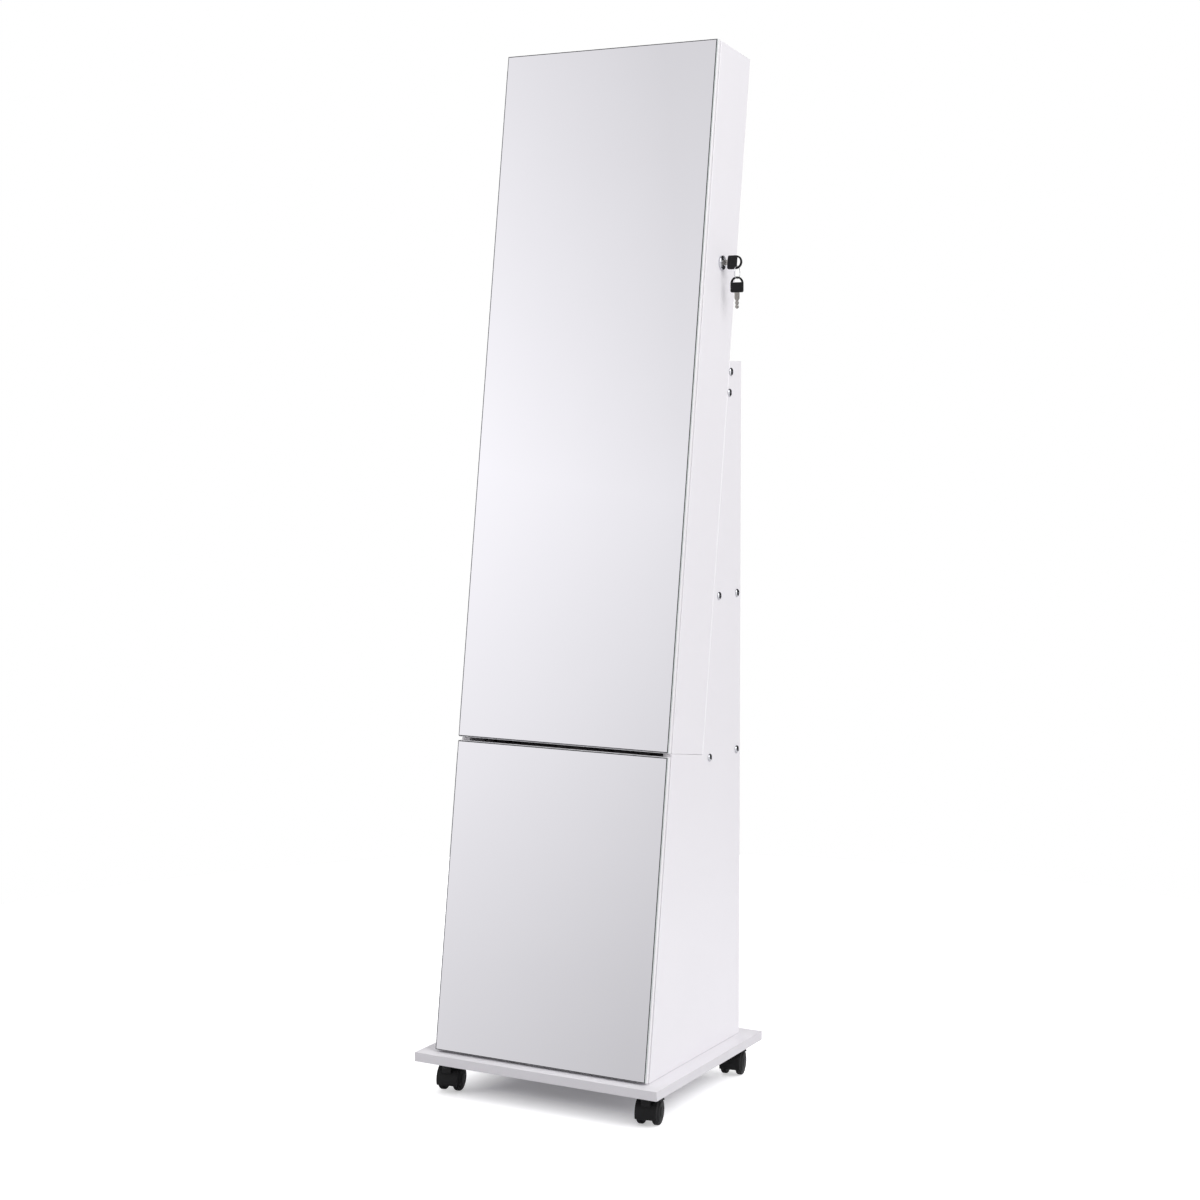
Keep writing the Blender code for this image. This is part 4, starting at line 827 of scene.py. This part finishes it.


# studio: white all round for the camera, a soft grey room for the mirrors, pale floor that keeps the shadow,
# darkened further under the base by a painted shadow
studio = {
    "fill": 0.52, "fillTint": (1, 0.99, 1, 1), "floorTone": "#E6E6E8", "floorM": 1.8, "floorMirror": 0.06,
    "lift": (0.08, 0.75), "liftFromM": (-0.115, 0.02), "sides": (0.46, 0.90), "sideGain": 2.1,
    "mirrorGain": 1.25, "behind": (0.0, 0.55), "behindGain": 0.06, "roomTint": (1, 0.995, 1.01),
    "room": ((-0.12, 0.80), (-0.04, 0.63), (0.0, 0.665), (0.06, 0.735), (0.14, 0.815), (0.22, 0.89),
        (0.41, 0.745), (0.50, 0.695), (0.75, 0.25))}  # height of the view, level
world = bpy.data.worlds.new("studioRoom")
scene.world = world
world.use_nodes = True
tree = world.node_tree
tree.nodes.clear()
rays = addNode(tree, "LightPath")
view = addNode(tree, "TexCoord").outputs["Generated"]
parts = addNode(tree, "SeparateXYZ", links={0: view}).outputs
lowest, highest = studio["room"][0][0], studio["room"][-1][0]
share = addNode(tree, "MapRange", values={"From Min": lowest, "From Max": highest},
    links={"Value": parts["Z"]})
ramp = addNode(tree, "ValToRGB", links={0: share})
stops = ramp.color_ramp.elements
for z, level in studio["room"]:
    spot = (z - lowest) / (highest - lowest)
    stop = stops[0] if spot == 0 else stops[-1] if spot == 1 else stops.new(spot)
    stop.position = spot
    stop.color = (*(level * tint for tint in studio["roomTint"]), 1)
aside = addNode(tree, "Math", {"operation": "ABSOLUTE"}, links={0: parts["X"]})
start, end = studio["sides"]
gain = addNode(tree, "MapRange", links={"Value": aside},
    values={"From Min": start, "From Max": end, "To Min": 1.0, "To Max": studio["sideGain"]})
start, end = studio["behind"]
dark = addNode(tree, "MapRange", links={"Value": parts["Y"]},
    values={"From Min": start, "From Max": end, "To Min": 1.0, "To Max": studio["behindGain"]})
# bright sides and the dark behind the cabinet draw the rims of metal and plastic; the mirrors, whose rays
# are perfectly sharp, see a pale even room instead
mirrorRay = rays.outputs["Is Singular Ray"]
most = addNode(tree, "MapRange", values={"To Min": studio["sideGain"], "To Max": studio["mirrorGain"]},
    links={"Value": mirrorRay})
sides = addNode(tree, "Math", {"operation": "MINIMUM"}, links={0: gain, 1: most})
rims = addNode(tree, "Math", {"operation": "MAXIMUM"}, links={0: dark, 1: mirrorRay})
level = addNode(tree, "Math", {"operation": "MULTIPLY"}, links={0: sides, 1: rims})
room = addNode(tree, "Background", links={"Color": ramp, "Strength": level})
white = addNode(tree, "Background", values={"Color": (1, 1, 1, 1), "Strength": 1.0})
soft = addNode(tree, "Background", values={"Color": studio["fillTint"], "Strength": studio["fill"]})
mirrored = addNode(tree, "Math", {"operation": "MAXIMUM"},
    links={0: rays.outputs["Is Glossy Ray"], 1: rays.outputs["Is Transmission Ray"]})
inside = addNode(tree, "MixShader", links={0: mirrored, 1: soft, 2: room})
shown = addNode(tree, "MixShader", links={0: rays.outputs["Is Camera Ray"], 1: inside, 2: white})
addNode(tree, "OutputWorld", links={"Surface": shown})

# the floor is lifted to white for the camera away from the base, and lifted less inside the base's outline,
# which paints a shadow there on top of the shadow the lamps cast
floorPaint = bpy.data.materials.new("paleStudioFloor")
floorPaint.use_nodes = True
tree = floorPaint.node_tree
tree.nodes.clear()
rays = addNode(tree, "LightPath")
matt = addNode(tree, "BsdfDiffuse", values={"Color": linear(studio["floorTone"])})
spot = addNode(tree, "TexCoord").outputs["Object"]
folded = addNode(tree, "VectorMath", {"operation": "ABSOLUTE"}, links={0: spot})
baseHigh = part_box("base_board")[1]
corner = (baseHigh.x, baseHigh.y, 0)
beyond = addNode(tree, "VectorMath", {"operation": "SUBTRACT"}, {1: corner}, {0: folded})
parts = addNode(tree, "SeparateXYZ", links={0: beyond}).outputs
past = addNode(tree, "Math", {"operation": "MAXIMUM"}, links={0: parts["X"], 1: parts["Y"]})
(start, end), (least, most) = studio["liftFromM"], studio["lift"]
# painted shadow: the lift is least inside the base's outline and grows past its edge
paintedShadowFade = addNode(tree, "MapRange", {"interpolation_type": "SMOOTHSTEP"},
    {"From Min": start, "From Max": end, "To Min": least, "To Max": most}, {"Value": past})
lift = addNode(tree, "Math", {"operation": "MULTIPLY"}, links={0: paintedShadowFade, 1: rays.outputs["Is Camera Ray"]})
mirrored = addNode(tree, "Math", {"operation": "MAXIMUM"},
    links={0: rays.outputs["Is Glossy Ray"], 1: rays.outputs["Is Transmission Ray"]})
glow = addNode(tree, "Math", {"operation": "MULTIPLY_ADD"}, {1: studio["floorMirror"]},
    {0: mirrored, 2: lift})
shine = addNode(tree, "Emission", values={"Color": (1, 1, 1, 1)}, links={"Strength": glow})
both = addNode(tree, "AddShader", links={0: matt, 1: shine})
addNode(tree, "OutputMaterial", links={"Surface": both})
ground = bmesh.new()
bmesh.ops.create_circle(ground, cap_ends=True, radius=studio["floorM"], segments=96)
mesh = bpy.data.meshes.new("studioFloor")
ground.to_mesh(mesh)
ground.free()
mesh.materials.append(floorPaint)
floor = bpy.data.objects.new("studioFloor", mesh)
scene.collection.objects.link(floor)

lamps = {"rightSoftbox": {"place": (3.7, -0.9, 3.4), "aim": (0, 0, 0.7), "watts": 126, "size": 3.2},
    "frontSoftbox": {"place": (-0.6, -2.2, 4.0), "aim": (0, 0, 0.6), "watts": 17, "size": 2.0},
    "backSoftbox": {"place": (-2.0, 2.6, 3.6), "aim": (0, 0, 0.7), "watts": 40, "size": 2.2}}
for name, lamp in lamps.items():
    light = bpy.data.lights.new(name, "AREA")
    light.shape, light.size, light.energy = "DISK", lamp["size"], lamp["watts"]
    holder = bpy.data.objects.new(name, light)
    holder.location = lamp["place"]
    holder.rotation_euler = (Vector(lamp["aim"]) - Vector(lamp["place"])).to_track_quat("-Z", "Y").to_euler()
    scene.collection.objects.link(holder)

# the photo's view: place in metres, angles in degrees, lens and sensor in millimetres
shot = {"place": (1.6864, -2.9573, 1.0675), "yaw": 28.386, "pitch": -5.06, "roll": 0.045, "lens": 66.28,
    "sensor": 36.0, "shift": -0.0333}
yaw, pitch = radians(shot["yaw"]), radians(shot["pitch"])
camera = bpy.data.cameras.new("photoView")
camera.lens, camera.sensor_width, camera.shift_x = shot["lens"], shot["sensor"], shot["shift"]
eye = bpy.data.objects.new("photoView", camera)
eye.location = shot["place"]
eye.rotation_euler = (pi / 2 + pitch, radians(shot["roll"]), yaw)
scene.collection.objects.link(eye)
scene.camera = eye
print("studio made")
